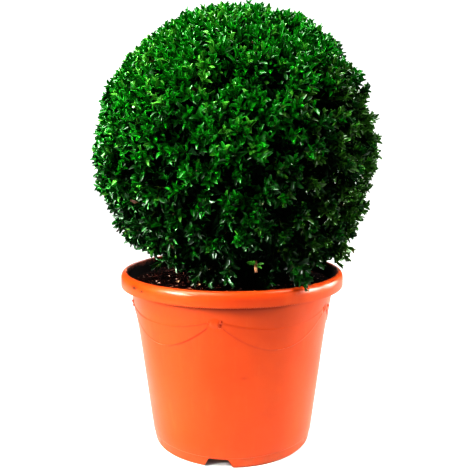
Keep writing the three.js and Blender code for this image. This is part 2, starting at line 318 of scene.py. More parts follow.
def stretched(tree, place, upright):
    # the same place with less change along the height
    node = addNode(tree, "ShaderNodeMapping", inputs={"Vector": place, "Scale": (1.0, 1.0, upright)})
    return node.outputs["Vector"]


def addBump(tree, surface, place, values, strength, distance):
    bump = addNode(tree, "ShaderNodeBump", inputs={
        "Strength": strength, "Distance": distance, "Height": useGroup(tree, grain, place, values)["Height"]})
    feed(tree, surface, {"Normal": bump.outputs["Normal"]})


def speckledMaterial(name, first, second, look):
    material, tree, surface, place = newMaterial(name, look["roughness"], look["specular"])
    feed(tree, surface, {"Base Color": mottled(tree, place, first, second, **look["speckles"])})
    addBump(tree, surface, place, look["grain"], **look["bump"])
    return material


# The pot

potShape = {
    "height": 246, "columns": 600, "wall": 2.5,
    "footInner": 107.4, "footOuter": 112.4, "footCorner": 3.2,
    "footBand": 14.3, "footStep": 0.7, "wallLow": 114.5, "wallLowHeight": 6,
    "flareHeight": 163, "flareRadius": 133.9, "shoulder": 144.4,
    "rimHeight": 20, "rimRadius": 157.5, "rimInner": 149, "lip": 2.4, "ceiling": 7,
    "rollDown": 11, "rollIn": 7.2,
    "plateUnder": 13.5, "plate": 3,
    "plainStep": 16, "reliefStep": 0.7, "reliefFrom": 156, "reliefTo": 212, "upperStep": 3, "upperFrom": 200,
    "sharpAngle": 42,
}
swagShape = {
    "count": 5, "firstKnot": -8.4, "margin": 3.4, "reliefTop": 225.9,
    "hemEnds": 198.5, "hemMiddle": 164.2, "topEnds": 204, "topMiddle": 192.5,
    "bodyHem": 0.6, "bodyTop": 0.3, "hem": 0.45, "hemWidth": 1.1, "top": 0.2, "topWidth": 1.0,
    "hemGroove": 0.42, "topGroove": 0.35, "grooveWidth": 0.95, "grooveAway": 1.5,
    # how far under a line the painted shade lies, and how much
    "paintedShadeBelow": 0.9, "hemCrease": 0.85, "topCrease": 0.55,
}
knotShape = {
    "height": 202.5,
    # across, up, half width, half height and rise: soft folds, and the tight ends of the cord at their sides
    "folds": [(0, 0, 9.0, 7.5, 1.5), (-3.4, 0.6, 4.2, 5.8, 1.7), (2.6, -0.6, 4.6, 6.2, 1.8)],
    "ends": [(-7.6, 2.2, 1.9, 1.9, 1.2), (7.6, 2.0, 1.8, 2.1, 2.4), (6.0, -4.4, 1.9, 1.8, 2.2)],
    # painted shade between them: across, up, half size, amount
    "marks": [(7.2, -1.2, 1.6, 1.0), (8.4, 3.0, 1.4, 0.8), (-8.2, -0.4, 1.4, 0.4)],
}
notchShape = {
    "count": 3, "azimuth": -8.9, "height": 12.5, "corner": 1.2,
    "widthBelow": 39, "widthAbove": 26, "depth": 40,
}
drainShape = {"count": 8, "radius": 6, "circle": 78, "sides": 28}
# painted shadow under the rim, most at the front, and a band of painted shade on the rim's front
rimShade = {
    "front": 4, "shelf": 0.3, "shelfFront": 0.25, "shelfSpread": 26, "shelfFrom": 216.5, "shelfFull": 224,
    "band": 0.35, "bandFrom": 6, "bandSpread": 18, "bandHeight": 234, "bandHalf": 6,
}


def between(z, lowHeight, lowRadius, highHeight, highRadius):
    return lowRadius + (z - lowHeight) * (highRadius - lowRadius) / (highHeight - lowHeight)


def wallRadius(z):
    s = potShape
    low = between(z, s["wallLowHeight"], s["wallLow"], s["flareHeight"], s["flareRadius"])
    high = between(z, s["flareHeight"], s["flareRadius"], s["height"] - s["rimHeight"], s["shoulder"])
    return np.where(z < s["flareHeight"], low, high)


def innerRadius(z):
    return wallRadius(z) - potShape["wall"]


def roundedProfile(corners):
    # corners: (radius, height, rounding), or two roundings, before and after; each becomes a short curve
    points = [np.array(corners[0][:2], float)]
    for before, corner, after in zip(corners, corners[1:], corners[2:]):
        here = np.array(corner[:2], float)
        back = np.array(before[:2], float) - here
        on = np.array(after[:2], float) - here
        downBy, onBy = corner[2] if isinstance(corner[2], tuple) else (corner[2], corner[2])
        first = here + unit(back) * min(downBy, 0.6 * np.linalg.norm(back))
        last = here + unit(on) * min(onBy, 0.85 * np.linalg.norm(on))
        steps = 3 if downBy < 2 else 5 if downBy <= 10 else 10
        for share in np.linspace(0, 1, steps):
            points.append(first * (1 - share) ** 2 + 2 * here * share * (1 - share) + last * share ** 2)
    points.append(np.array(corners[-1][:2], float))
    return points


def potProfile():
    s = potShape
    lipBottom = s["height"] - s["rimHeight"]
    ceiling = s["height"] - s["ceiling"]
    plateTop = s["plateUnder"] + s["plate"]
    outside = float(wallRadius(s["footBand"]))
    return roundedProfile([
        (0, s["plateUnder"], 0),
        (float(innerRadius(s["plateUnder"])) - 0.8, s["plateUnder"], 1.5),
        (s["footInner"], 0, 0.6),
        (s["footOuter"], 0, s["footCorner"]),
        (outside - s["footStep"], s["footBand"], 0.3),
        (float(wallRadius(s["footBand"] + s["footStep"])), s["footBand"] + s["footStep"], 0.5),
        (s["flareRadius"], s["flareHeight"], 8),
        (s["shoulder"], lipBottom, 3),
        (s["shoulder"] + 1.6, ceiling, 1.2),
        (s["rimRadius"] - s["lip"] - 0.6, ceiling, 1.2),
        (s["rimRadius"] - s["lip"], lipBottom, 0.7),
        (s["rimRadius"], lipBottom, 1.1),
        (s["rimRadius"], s["height"], (s["rollDown"], s["rollIn"])),
        (s["rimInner"], s["height"], 1.6),
        (float(innerRadius(lipBottom)), lipBottom, 3),
        (float(innerRadius(s["flareHeight"])), s["flareHeight"], 8),
        (float(innerRadius(plateTop)), plateTop, 3),
        (0, plateTop, 0),
    ])


def finerProfile(points):
    # short steps up the outside of the wall where the relief lies, longer ones elsewhere on it
    s = potShape
    finer = [points[0]]
    for a, b in zip(points, points[1:]):
        if a[0] > wallRadius(a[1]) - 0.2 and b[1] > a[1] + s["reliefStep"] and a[0] < s["shoulder"] + 0.5:
            height = a[1]
            while True:
                step = s["upperStep"] if height > s["upperFrom"] else s["plainStep"]
                if s["reliefFrom"] <= height < s["reliefTo"]:
                    step = s["reliefStep"]
                height += step
                if height > b[1] - s["reliefStep"] / 2:
                    break
                finer.append(a + (b - a) * (height - a[1]) / (b[1] - a[1]))
        finer.append(b)
    return np.array(finer)


def fromNearestKnot(azimuth):
    spacing = 360 / swagShape["count"]
    return (azimuth - swagShape["firstKnot"] + spacing / 2) % spacing - spacing / 2


def swagRelief(fromKnot, z):
    # the hanging cloth and the lines along its hem and top, with painted shade under the lines
    s = swagShape
    half = 180 / s["count"]
    reach = half - s["margin"]
    share = (half - np.abs(fromKnot)) / reach
    inside = smoothStep(1.0, 0.96, share)
    arc = np.radians(reach) * wallRadius(z)
    height, marks, lines = 0, 0, {}
    for kind, side in (("hem", -1), ("top", 1)):
        fall = s[kind + "Ends"] - s[kind + "Middle"]
        lines[kind] = s[kind + "Middle"] + fall * share ** 2
        away = (z - lines[kind]) / np.sqrt(1 + (2 * fall * share / arc) ** 2)
        groove = bell((away - side * s["grooveAway"]) / s["grooveWidth"])
        height = height + s[kind] * bell(away / s[kind + "Width"]) * inside
        height = height - s[kind + "Groove"] * groove * inside
        # painted shade just under each line
        crease = s[kind + "Crease"] * bell((away + s["paintedShadeBelow"]) / s["grooveWidth"])
        marks = np.maximum(marks, crease * inside * smoothStep(-0.1, 0.75, share))
    hem, top = lines["hem"], lines["top"]
    upTheCloth = np.clip((z - hem) / np.maximum(top - hem, 1), 0, 1)
    body = s["bodyHem"] + (s["bodyTop"] - s["bodyHem"]) * upTheCloth
    return height + body * smoothStep(-1.1, 0.2, z - hem) * smoothStep(0.7, -0.3, z - top) * inside, marks


def relief(azimuth, z):
    # how far the swags and knots stand out of the wall, in millimetres, and the painted shade under their
    # lines, at the knots and under the rim, 0 to 1
    k, r = knotShape, rimShade
    fromKnot = fromNearestKnot(azimuth)
    height, marks = swagRelief(fromKnot, z)
    across, up = np.radians(fromKnot) * wallRadius(z), z - k["height"]
    for lobes, steep in ((k["folds"], 1.5), (k["ends"], 0.4)):
        for x, y, halfWidth, halfHeight, rise in lobes:
            away = ((across - x) / halfWidth) ** 2 + ((up - y) / halfHeight) ** 2
            height = np.maximum(height, rise * np.clip(1 - away, 0, 1) ** steep)
    # the painted shade is weaker in the swags on the right than in those on the left
    marks = marks * (0.55 - 0.45 * np.sin(np.radians(azimuth)))
    # painted shade at the knots
    for x, y, half, amount in k["marks"]:
        marks = np.maximum(marks, amount * bell(np.hypot(across - x, up - y) / half))
    # painted shadow under the rim and painted shade on the rim's front band
    fromFront = (azimuth - r["front"] + 180) % 360 - 180
    shelf = r["shelf"] + r["shelfFront"] * bell(fromFront / r["shelfSpread"])
    shelf = shelf * smoothStep(r["shelfFrom"], r["shelfFull"], z)
    band = bell((fromFront - r["bandFrom"]) / r["bandSpread"]) * bell((z - r["bandHeight"]) / r["bandHalf"])
    return height, np.where(z > swagShape["reliefTop"], r["band"] * band, np.maximum(marks, shelf))


def columnAzimuths():
    # columns stand closer together at the knots
    count = potShape["columns"]
    fine = np.linspace(0, 360, 7201)
    weight = 1 + 2.2 * smoothStep(8, 4.5, np.abs(fromNearestKnot(fine)))
    share = np.concatenate([[0], np.cumsum((weight[1:] + weight[:-1]) / 2)])
    return np.interp(np.arange(count) / count, share / share[-1], fine)


potFinish = {
    "plain": (0.332, 0.0396, 0.0029, 1), "redder": (0.36, 0.0478, 0.0044, 1),
    "faded": (0.36, 0.0827, 0.0158, 1), "paled": (0.34, 0.14, 0.09, 1), "scuffed": (0.05, 0.006, 0.002, 1),
    "soiledAndShaded": (0.010, 0.004, 0.003, 1), "dusty": (0.24, 0.10, 0.045, 1), "darkRed": (0.21, 0.009, 0.0004, 1),
    "specular": 0.25, "smooth": 0.31, "dull": 0.95,
    "mottling": {"scale": 9.0, "low": 0.35, "high": 0.7}, "upright": 0.12,
    "fading": {"scale": 90.0, "low": 0.52, "high": 0.85, "amount": 0.3},
    "dust": {"Below": 0.022, "Scale": 85.0, "Amount": 0.5},
    "stain": {"Full below": 0.2405, "Clean above": 0.2485, "Scale": 75.0},
    "grain": {"Broad scale": 70.0, "Fine scale": 1100.0, "Fine share": 0.4},
    # scuffs: azimuth, radius, height, half size, amount, colour; the first one only makes the rim's far left
    # end paler
    "scuffs": [
        (-86, 156, 239, 34, 2.0, "paled"), (-53, 157.4, 237.5, 7, 2.6, "scuffed"),
        (-47.5, 157.4, 236, 8, 1.8, "scuffed"), (7, 129.6, 129, 7, 0.4, "darkRed"),
    ],
    "scuffScale": 150.0,
}


def potMaterial():
    f = potFinish
    material, tree, surface, place = newMaterial("orangePlastic", f["smooth"], f["specular"])
    colour = mottled(tree, place, f["plain"], f["redder"], **f["mottling"])
    colour = mottled(tree, stretched(tree, place, f["upright"]), colour, f["faded"], **f["fading"])
    dusted = useGroup(tree, dust, place, {"Color": colour, "Cover": f["dusty"], **f["dust"]})
    colour = dusted["Color"]
    for azimuth, radius, height, half, amount, tone in f["scuffs"]:
        colour = useGroup(tree, scuff, place, {
            "Color": colour, "Cover": f[tone], "Size": half * mm, "Scale": f["scuffScale"], "Amount": amount,
            "Middle": tuple(polar(azimuth, radius, height) * mm)})["Color"]
    # the inner wall above the compost goes nearly black, compost stain and painted shade
    stainedAndShaded = useGroup(tree, stain, place, {"Color": colour, "Cover": f["soiledAndShaded"], **f["stain"]})
    # the painted shade of the creases, knots and rim goes on as a dark red, and dulls the surface like the
    # dust and stain
    crease = addNode(tree, "ShaderNodeAttribute", {"attribute_name": "crease"}).outputs["Fac"]
    marks = addMath(tree, "MAXIMUM", addMath(tree, "MAXIMUM", dusted["Mask"], stainedAndShaded["Mask"]), crease)
    feed(tree, surface, {
        "Base Color": addMix(tree, crease, stainedAndShaded["Color"], f["darkRed"]),
        "Roughness": addRange(tree, marks, toMin=f["smooth"], toMax=f["dull"])})
    addBump(tree, surface, place, f["grain"], strength=0.12, distance=0.001)
    return material


def cutters():
    # one mesh of everything that is cut out of the pot: the foot's notches and the drainage holes
    rows = []
    p, s, d = potShape, notchShape, drainShape
    below, above, high = s["widthBelow"] / 2 + 2, s["widthAbove"] / 2, s["height"]
    corner, half = s["corner"], s["corner"] / 2
    outline = [
        (-below, -4), (below, -4), (above + half, high - corner), (above - half, high),
        (half - above, high), (-above - half, high - corner)]
    ends = (-p["footOuter"] - s["depth"] / 2, -p["footOuter"] + s["depth"] / 2)
    points = np.array([(x, y, z) for y in ends for x, z in outline])
    n = len(outline)
    faces = [tuple(range(n)), tuple(reversed(range(n, 2 * n)))]
    faces += [(j, j + n, (j + 1) % n + n, (j + 1) % n) for j in range(n)]
    for i in range(s["count"]):
        turn = math.radians(s["azimuth"] + i * 360 / s["count"])
        cos, sin = math.cos(turn), math.sin(turn)
        spin = np.array([[cos, -sin, 0], [sin, cos, 0], [0, 0, 1]])
        rows.append((points @ spin.T, faces))
    n = d["sides"]
    around = np.linspace(0, 360, n, endpoint=False)
    faces = [tuple(reversed(range(n))), tuple(range(n, 2 * n))]
    faces += [(j, (j + 1) % n, (j + 1) % n + n, j + n) for j in range(n)]
    places = [(i * 360 / d["count"], d["circle"]) for i in range(d["count"])] + [(0, 0)]
    for azimuth, circle in places:
        middle = polar(azimuth, circle, 0.0)
        heights = (p["plateUnder"] - 3, p["plateUnder"] + p["plate"] + 3)
        rows.append((np.concatenate([middle + polar(around, d["radius"], z) for z in heights]), faces))
    points, faces = joinRows(rows)
    return meshPiece("cutters", points * mm, faces, smooth=False)


def readMesh(rows, name, width):
    values = np.zeros(len(rows) * width)
    rows.foreach_get(name, values)
    return values.reshape(-1, width)


def makePot():
    s = potShape
    profile = finerProfile(potProfile())
    azimuth = columnAzimuths()
    body = profile[1:-1]  # without the two ends on the axis
    rings, columns = len(body), s["columns"]
    radius = np.repeat(body[:, :1], columns, axis=1)
    z = np.repeat(body[:, 1:], columns, axis=1)
    outer = (radius > wallRadius(z) - 0.2) & (radius < s["shoulder"] + 0.4)
    inRelief = outer & (z > s["reliefFrom"] - 2) & (z < s["reliefTo"] + 2)
    radius = radius + np.where(inRelief, relief(azimuth[None, :], z)[0], 0)
    points = polar(azimuth[None, :], radius, z).reshape(-1, 3)
    below, top = len(points), (rings - 1) * columns
    points = np.concatenate([points, [[0, 0, profile[0][1]], [0, 0, profile[-1][1]]]])
    faces = ringFaces(rings, columns)
    for j in range(columns):
        k = (j + 1) % columns
        faces += [(below, k, j), (below + 1, top + j, top + k)]
    pot = meshPiece("pot_body", points * mm, faces, potMaterial())
    tools = cutters()
    cut = pot.modifiers.new("cut", "BOOLEAN")
    cut.object, cut.operation, cut.solver = tools, "DIFFERENCE", "MANIFOLD"
    keepResult(pot)
    bpy.data.objects.remove(tools)
    pot.data.set_sharp_from_angle(angle=math.radians(s["sharpAngle"]))
    # the base plate stays flat where it meets the wall
    level = np.abs(readMesh(pot.data.polygons, "normal", 3)[:, 2]) > 0.99999
    pot.data.polygons.foreach_set("use_smooth", ~level)
    x, y, z = readMesh(pot.data.vertices, "co", 3).T / mm
    belowRim = z < s["height"] - s["rimHeight"]
    outside = np.hypot(x, y) > np.where(belowRim, wallRadius(z) - 1, s["rimRadius"] - 5)
    # the painted shade of the relief and the rim, kept to the outside of the pot
    marks = relief(np.degrees(np.arctan2(x, -y)), z)[1] * outside
    pot.data.attributes.new("crease", "FLOAT", "POINT").data.foreach_set("value", marks)
    return finishPiece(pot, "pot_plastic", "pot")


makePot()
print("pot made")


# The plant's rule of growth: the same seed, orders and shares as the solids, carried to finer twigs

crown = {
    "seed": 11, "centre": (4, 0, 407), "reach": 202, "wander": 0.16,
    "soil": 232, "soilEdge": 229, "soilGap": 5, "rimTop": 246, "margin": 2,
    "stemTop": 256, "stemLean": 3, "stemTip": 11, "stemWaist": 14, "stemFlare": 24, "flareHeight": 14,
    "clearance": 0.3,
}
# where the shears left the ball out of true: azimuth, elevation, spread in degrees, rise
swellings = [
    (-90, 45, 30, -5), (90, 53, 22, 12), (90, -32, 18, -2), (90, -50, 16, 12), (45, -52, 18, 6),
    (-90, -32, 15, 13), (-90, -8, 20, -8), (-80, -58, 20, -12), (-75, 74, 13, 5), (-90, 30, 12, -3),
    (90, 2, 34, 6), (90, 36, 14, 3), (20, 12, 28, 4), (-150, 8, 26, 5), (150, -25, 24, -5),
]
orders = [
    {"name": "bough", "count": 9, "share": 0.42, "start": 8.0, "end": 6.0},
    {"name": "branch", "count": 42, "share": 0.72, "start": 5.0, "end": 3.4},
    {"name": "spray", "count": 96, "share": 0.76, "start": 3.0, "end": 2.2},
    {"name": "shoot", "count": 1300, "share": 0.83, "start": 1.7, "end": 1.1},
    {"name": "tip", "count": 3300, "share": 0.965, "start": 0.95, "end": 0.5},
]


def randomFrom(start):
    # the small generator that the solids' source uses, so that both grow the same limbs
    state = start
    whole = 0xFFFFFFFF

    def draw():
        nonlocal state
        state = (state + 0x6D2B79F5) & whole
        mixed = ((state ^ (state >> 15)) * (1 | state)) & whole
        mixed = ((mixed + (((mixed ^ (mixed >> 7)) * (61 | mixed)) & whole)) & whole) ^ mixed
        return ((mixed ^ (mixed >> 14)) & whole) / 4294967296
    return draw


def reachAlong(directions):
    reach = np.full(directions.shape[:-1], float(crown["reach"]))
    for azimuth, elevation, spread, rise in swellings:
        reach = reach + rise * bell(degreesFrom(directions @ heading(azimuth, elevation)) / spread)
    return reach


def evenDirections(count, draw):
    # spread evenly over the ball, each then moved a little at random
    golden = math.pi * (3 - math.sqrt(5))
    spacing = math.sqrt(4 * math.pi / count)
    index = np.arange(count)
    z = 1 - (2 * index + 1) / count
    across = np.sqrt(1 - z * z)
    directions = np.stack([across * np.cos(index * golden), across * np.sin(index * golden), z], axis=-1)
    moved = np.array([[draw() - 0.5 for _ in range(3)] for _ in range(count)])
    return unit(directions + moved * 2 * crown["wander"] * spacing)


def staysClear(points):
    # out of the compost, the pot's rim and the main stem
    c, margin = crown, crown["margin"]
    fromAxis, z = np.hypot(points[..., 0], points[..., 1]), points[..., 2]
    offRim = fromAxis < innerRadius(c["soilEdge"]) - margin
    offRim |= fromAxis > potShape["rimRadius"] + margin
    clear = (z > c["soil"] + margin) & ((z > c["rimTop"] + margin) | offRim)
    return clear & ((z > c["stemTop"] + margin) | (fromAxis > c["stemFlare"] + margin))


def insideCrown(points, beyond):
    outward = points - np.array(crown["centre"])
    return np.linalg.norm(outward, axis=-1) <= reachAlong(unit(outward)) + beyond


def hermite(start, startAlong, end, endAlong, share):
    # a bent limb: points and headings at shares of its way
    pull = np.linalg.norm(end - start, axis=-1, keepdims=True) / 3
    left = 1 - share
    a, b, c, d = start, start + startAlong * pull, end - endAlong * pull, end
    point = a * left ** 3 + 3 * b * share * left ** 2 + 3 * c * share ** 2 * left + d * share ** 3
    along = (b - a) * left ** 2 + 2 * (c - b) * share * left + (d - c) * share ** 2
    return point, unit(along)


light = unit(np.array([-0.36, -0.34, 0.87]))  # where most of the light has come from
growth = {
    "upward": 0.55, "tipUpward": 1.7, "restless": 0.38,  # how far a shoot turns up, and at random
    "outward": 0.7, "onward": 0.6,  # how far its end keeps to the crown's direction and to its own
    "beyond": 3.0,  # how far leaves may pass the clipped surface
    "uneven": 0.014,  # how far tips fall short of it, as a share
    # pockets between the sprays, and the share of them kept towards the light and away from it
    "hollows": 270, "hollowSpread": 4.2, "hollowDepth": 0.19, "shootDepth": 0.45,
    "hollowSmallest": 0.7, "hollowVaries": 0.7, "openLit": 0.10, "openShaded": 0.85,
    # sprays bunch together and leave gaps between
    "clumps": 430, "clumpPull": 0.40, "clumpDome": 0.045, "clumpReach": 0.6,
    "pullLit": 0.35, "pullShaded": 1.0,
}
# long shoots that the shears missed: azimuth, elevation, share, how far leaves may pass, turn upward
strays = [
    (-90, 9, 0.975, 9, 0.6), (-93, 4, 0.965, 6, 0.5), (90, 14, 0.965, 5, 0.6), (40, 82, 0.965, 4, 0.6),
    (92, -40, 0.99, 9, 0.2), (88, -44, 0.98, 9, 0), (97, -42, 0.98, 9, 0.1), (84, -46, 1.0, 10, 0),
    (90, -41, 1.0, 11, 0.1), (86, -39, 1.0, 10, 0.3), (80, -42, 1.0, 10, 0),
    (32, -45, 1.08, 30, -1.1), (30, -44, 1.05, 30, -0.8), (34, -44, 1.07, 30, -1.2),
    (-4, -49, 0.99, 12, -0.5), (-22, -50, 1.0, 12, -0.4), (-58, -50, 0.98, 12, -0.3),
]
# places where the leaves stand back and the dark inside shows: azimuth, elevation, spread, depth as a share
gaps = [
    (10, -50, 9, 0.16), (4, -40, 6, 0.08), (-44, -18, 7, 0.06), (30, -14, 8, 0.07), (-8, 24, 6, 0.06),
    (-90, -48, 13, 0.08),
]


def pockets(directions, draw):
    # 0 on the clipped surface, towards 1 in the pockets between the sprays
    g = growth
    middles = evenDirections(g["hollows"], draw)
    shade = 0.5 - 0.5 * middles @ light
    share = g["openLit"] + (g["openShaded"] - g["openLit"]) * smoothStep(0.05, 0.6, shade)
    kept = np.array([draw() for _ in middles]) < share
    size = g["hollowSmallest"] + g["hollowVaries"] * np.array([draw() for _ in middles])
    away = degreesFrom(directions @ middles[kept].T)
    return np.max(bell(away / (g["hollowSpread"] * size[kept])), axis=1)


def bunched(directions, draw):
    # directions drawn towards the middle of their clump, and how far they stood from it, 0 to 1
    g = growth
    middles = evenDirections(g["clumps"], draw)
    nearest = np.argmax(directions @ middles.T, axis=1)
    away = degreesFrom(np.sum(directions * middles[nearest], axis=1))
    away = away / (np.degrees(math.sqrt(4 * math.pi / g["clumps"])) * g["clumpReach"])
    shade = 0.5 - 0.5 * directions @ light  # the side away from the light grows more open
    pull = g["pullLit"] + (g["pullShaded"] - g["pullLit"]) * smoothStep(0.1, 0.6, shade)
    pull = g["clumpPull"] * pull
    return unit(directions + (middles[nearest] - directions) * pull[:, None]), away ** 2 * (0.4 + shade)


def sharesOut(order, directions, noise):
    # how far out each of an order's limbs ends, as a share of the way to the clipped surface
    last = order["name"] == "tip"
    share = np.full(order["count"], order["share"])
    if last:
        directions, spreadOut = bunched(directions, randomFrom(crown["seed"] + 2))
        share = share - growth["clumpDome"] * spreadOut
    if order["name"] in ("shoot", "tip"):
        depth = pockets(directions, randomFrom(crown["seed"] + 1))
        share = share - growth["hollowDepth"] * depth * (1.0 if last else growth["shootDepth"])
        share = share - np.abs(noise.normal(0, growth["uneven"], order["count"]))
        for azimuth, elevation, spread, depth in gaps:
            share = share - depth * bell(degreesFrom(directions @ heading(azimuth, elevation)) / spread)
    return directions, share


def growLimbs():
    # every order's limbs: ends, headings and the limb that each grows from
    draw = randomFrom(crown["seed"])
    noise = np.random.default_rng(crown["seed"])
    centre = np.array(crown["centre"], float)
    leaderFoot = np.array([crown["stemLean"], 0, crown["stemTop"] + crown["clearance"]], float)
    parents = np.array([leaderFoot * 0.5 + centre * 0.5, centre])
    parentAlong = np.tile(unit(centre - leaderFoot), (2, 1))
    limbs = {}
    for order in orders:
        last = order["name"] == "tip"
        directions, share = sharesOut(order, evenDirections(order["count"], draw), noise)
        beyond = np.full(order["count"], growth["beyond"])
        lift = np.full(order["count"], growth["tipUpward" if last else "upward"])
        if last:
            directions = np.concatenate([directions, [heading(stray[0], stray[1]) for stray in strays]])
            share, beyond, lift = (
                np.concatenate([row, [stray[column] for stray in strays]])
                for row, column in ((share, 2), (beyond, 3), (lift, 4)))
        turn = np.array([draw() for _ in directions]) * math.pi
        down = directions[:, 2]
        soilGap = (centre[2] - crown["soil"] - crown["soilGap"]) / np.maximum(-down, 1e-6)
        reach = np.minimum(reachAlong(directions) * share, np.where(down < 0, soilGap, 1e9))
        ends = centre + directions * reach[:, None]
        kept = staysClear(ends)
        ends, turn, beyond, directions, lift = (row[kept] for row in (ends, turn, beyond, directions, lift))
        nearest = np.argmin(np.linalg.norm(ends[:, None] - parents[None], axis=-1), axis=1)
        starts, startAlong = parents[nearest], parentAlong[nearest]
        chord = unit(ends - starts)
        loose = noise.normal(0, growth["restless"], ends.shape) if last else 0
        ahead = directions * growth["outward"] + chord * growth["onward"]
        endAlong = unit(ahead + np.outer(lift, [0, 0, 1]) + loose)
        limbs[order["name"]] = {
            "order": order, "starts": starts, "startAlong": unit(startAlong + chord), "ends": ends,
            "endAlong": endAlong, "turn": turn, "beyond": beyond, "directions": directions,
        }
        parents, parentAlong = ends, endAlong
    return leaderFoot, centre, limbs


leaderFoot, crownMiddle, limbs = growLimbs()
print("limbs grown:", {name: len(limb["ends"]) for name, limb in limbs.items()})


# Stem, boughs and branches, with the relief of their bark

bark = {
    "waves": 4, "ridges": 7, "ridgeDepth": 0.07, "knobs": 0.05, "twist": 0.05,
    "stemSides": 48, "stemRings": 16, "leaderSides": 20, "leaderRings": 22,
    "limbSides": {"bough": 14, "branch": 10}, "limbRings": 12,
}


def barkTube(path, radii, seed, sides):
    # a closed tube along a path, with wandering ridges
    noise = np.random.default_rng(seed)
    path = np.asarray(path, float)
    along = unit(np.gradient(path, axis=0))
    side = np.cross(along[0], [0.3, 0.9, 0.1])
    around = np.linspace(0, 2 * math.pi, sides, endpoint=False)
    length = np.concatenate([[0], np.cumsum(np.linalg.norm(np.diff(path, axis=0), axis=1))])
    most = bark["twist"]
    waves = [
        (noise.integers(2, bark["ridges"] + 1), noise.uniform(0, 6.28), noise.uniform(-most, most))
        for _ in range(bark["waves"])]
    points = []
    for centre, direction, radius, far in zip(path, along, radii, length):
        side = side - direction * (side @ direction)
        side = side / np.linalg.norm(side)
        ridges = sum(np.cos(n * around + phase + twist * far) for n, phase, twist in waves) / len(waves)
        ring = radius * (1 + bark["ridgeDepth"] * 2 * ridges + noise.normal(0, bark["knobs"] / 2, sides))
        other = np.cross(direction, side)
        points.append(
            centre + np.outer(ring * np.cos(around), side) + np.outer(ring * np.sin(around), other))
    rings = len(path)
    faces = ringFaces(rings, sides)
    faces += [list(reversed(range(sides))), list(range((rings - 1) * sides, rings * sides))]
    return np.concatenate(points), faces


barkLook = {
    # fissures, ridges and moss
    "oldBark": ((0.055, 0.038, 0.022, 1), (0.22, 0.16, 0.095, 1), (0.06, 0.09, 0.03, 1)),
    "boughBark": ((0.06, 0.045, 0.028, 1), (0.20, 0.15, 0.09, 1), (0.07, 0.10, 0.035, 1)),
    "upright": 0.22, "fissures": {"scale": 420.0, "low": 0.42, "high": 0.58},
    "moss": {"scale": 60.0, "low": 0.55, "high": 0.75, "amount": 0.5},
    "grain": {"Broad scale": 260.0, "Fine scale": 1400.0, "Fine share": 0.4},
}


def barkMaterial(name):
    b = barkLook
    fissure, ridge, moss = b[name]
    material, tree, surface, place = newMaterial(name, roughness=0.85, specular=0.25)
    along = stretched(tree, place, b["upright"])
    colour = mottled(tree, along, fissure, ridge, **b["fissures"])
    feed(tree, surface, {"Base Color": mottled(tree, place, colour, moss, **b["moss"])})
    addBump(tree, surface, along, b["grain"], strength=0.7, distance=0.001)
    return material


def makeStem():
    c = crown
    foot = c["soil"] + c["clearance"]
    share = np.linspace(0, 1, bark["stemRings"])
    flare = np.clip(1 - share * (c["stemTop"] - foot) / c["flareHeight"], 0, 1) ** 2
    radii = c["stemWaist"] + (c["stemTip"] - c["stemWaist"]) * share
    radii = radii + (c["stemFlare"] - c["stemWaist"]) * flare
    path = np.stack([c["stemLean"] * share, 0 * share, foot + (c["stemTop"] - foot) * share], axis=-1)
    points, faces = barkTube(path, radii * 0.97, 3, bark["stemSides"])
    points[:, 2] = np.clip(points[:, 2], foot, c["stemTop"])
    stem = meshPiece("main_stem_bark", points * mm, faces, barkMaterial("oldBark"))
    return finishPiece(stem, "bark", "main_stem")


def makeBoughs():
    upright = np.array([0, 0, 1.0])
    share = np.linspace(0, 1, bark["leaderRings"])[:, None]
    leader, _ = hermite(leaderFoot, upright, crownMiddle, upright, share)
    radii = np.linspace(crown["stemTip"] - 0.5, orders[0]["start"], len(share))
    rows = [barkTube(leader, radii, 5, bark["leaderSides"])]
    share = np.linspace(0, 1, bark["limbRings"])[:, None]
    for name, sides in bark["limbSides"].items():
        limb = limbs[name]
        radii = np.linspace(limb["order"]["start"], limb["order"]["end"], len(share))
        for i, end in enumerate(limb["ends"]):
            path, _ = hermite(limb["starts"][i], limb["startAlong"][i], end, limb["endAlong"][i], share)
            rows.append(barkTube(path, radii, 100 + i, sides))
    points, faces = joinRows(rows)
    boughs = meshPiece("boughs", points * mm, faces, barkMaterial("boughBark"))
    return finishPiece(boughs, "bark", "foliage_ball")


makeStem()
makeBoughs()
print("stem and boughs made")


# Twigs: thin tubes along the finer orders, by a node tree

def finishTree(tree, start, end, geometry):
    # whatever stands there becomes one mesh in one material
    whole = addNode(tree, "GeometryNodeRealizeInstances", inputs={"Geometry": geometry})
    painted = addNode(tree, "GeometryNodeSetMaterial", inputs={
        "Geometry": whole.outputs["Geometry"], "Material": start["Material"]})
    feed(tree, end, {"Geometry": painted.outputs["Geometry"]})
    return tree


def readAttribute(tree, name, kind):
    node = addNode(tree, "GeometryNodeInputNamedAttribute", {"data_type": kind}, {"Name": name})
    return node.outputs["Attribute"]


def twigTree():
    tree, start, end = newTree("twigTubes", "GeometryNodeTree", {
        "Geometry": ("Geometry", None), "Sides": ("Int", 3), "Thickness": ("Float", 1.0),
        "Material": ("Material", None),
    }, {"Geometry": "Geometry"})
    thick = addMath(tree, "MULTIPLY", readAttribute(tree, "twigRadius", "FLOAT"), start["Thickness"])
    curve = addNode(tree, "GeometryNodeMeshToCurve", inputs={"Mesh": start["Geometry"]}).outputs["Curve"]
    profile = addNode(tree, "GeometryNodeCurvePrimitiveCircle", inputs={
        "Resolution": start["Sides"], "Radius": 1.0}).outputs["Curve"]
    tube = addNode(tree, "GeometryNodeCurveToMesh", inputs={
        "Curve": curve, "Profile Curve": profile, "Scale": thick, "Fill Caps": True}).outputs["Mesh"]
    return finishTree(tree, start, end, tube)


twigTubes = twigTree()


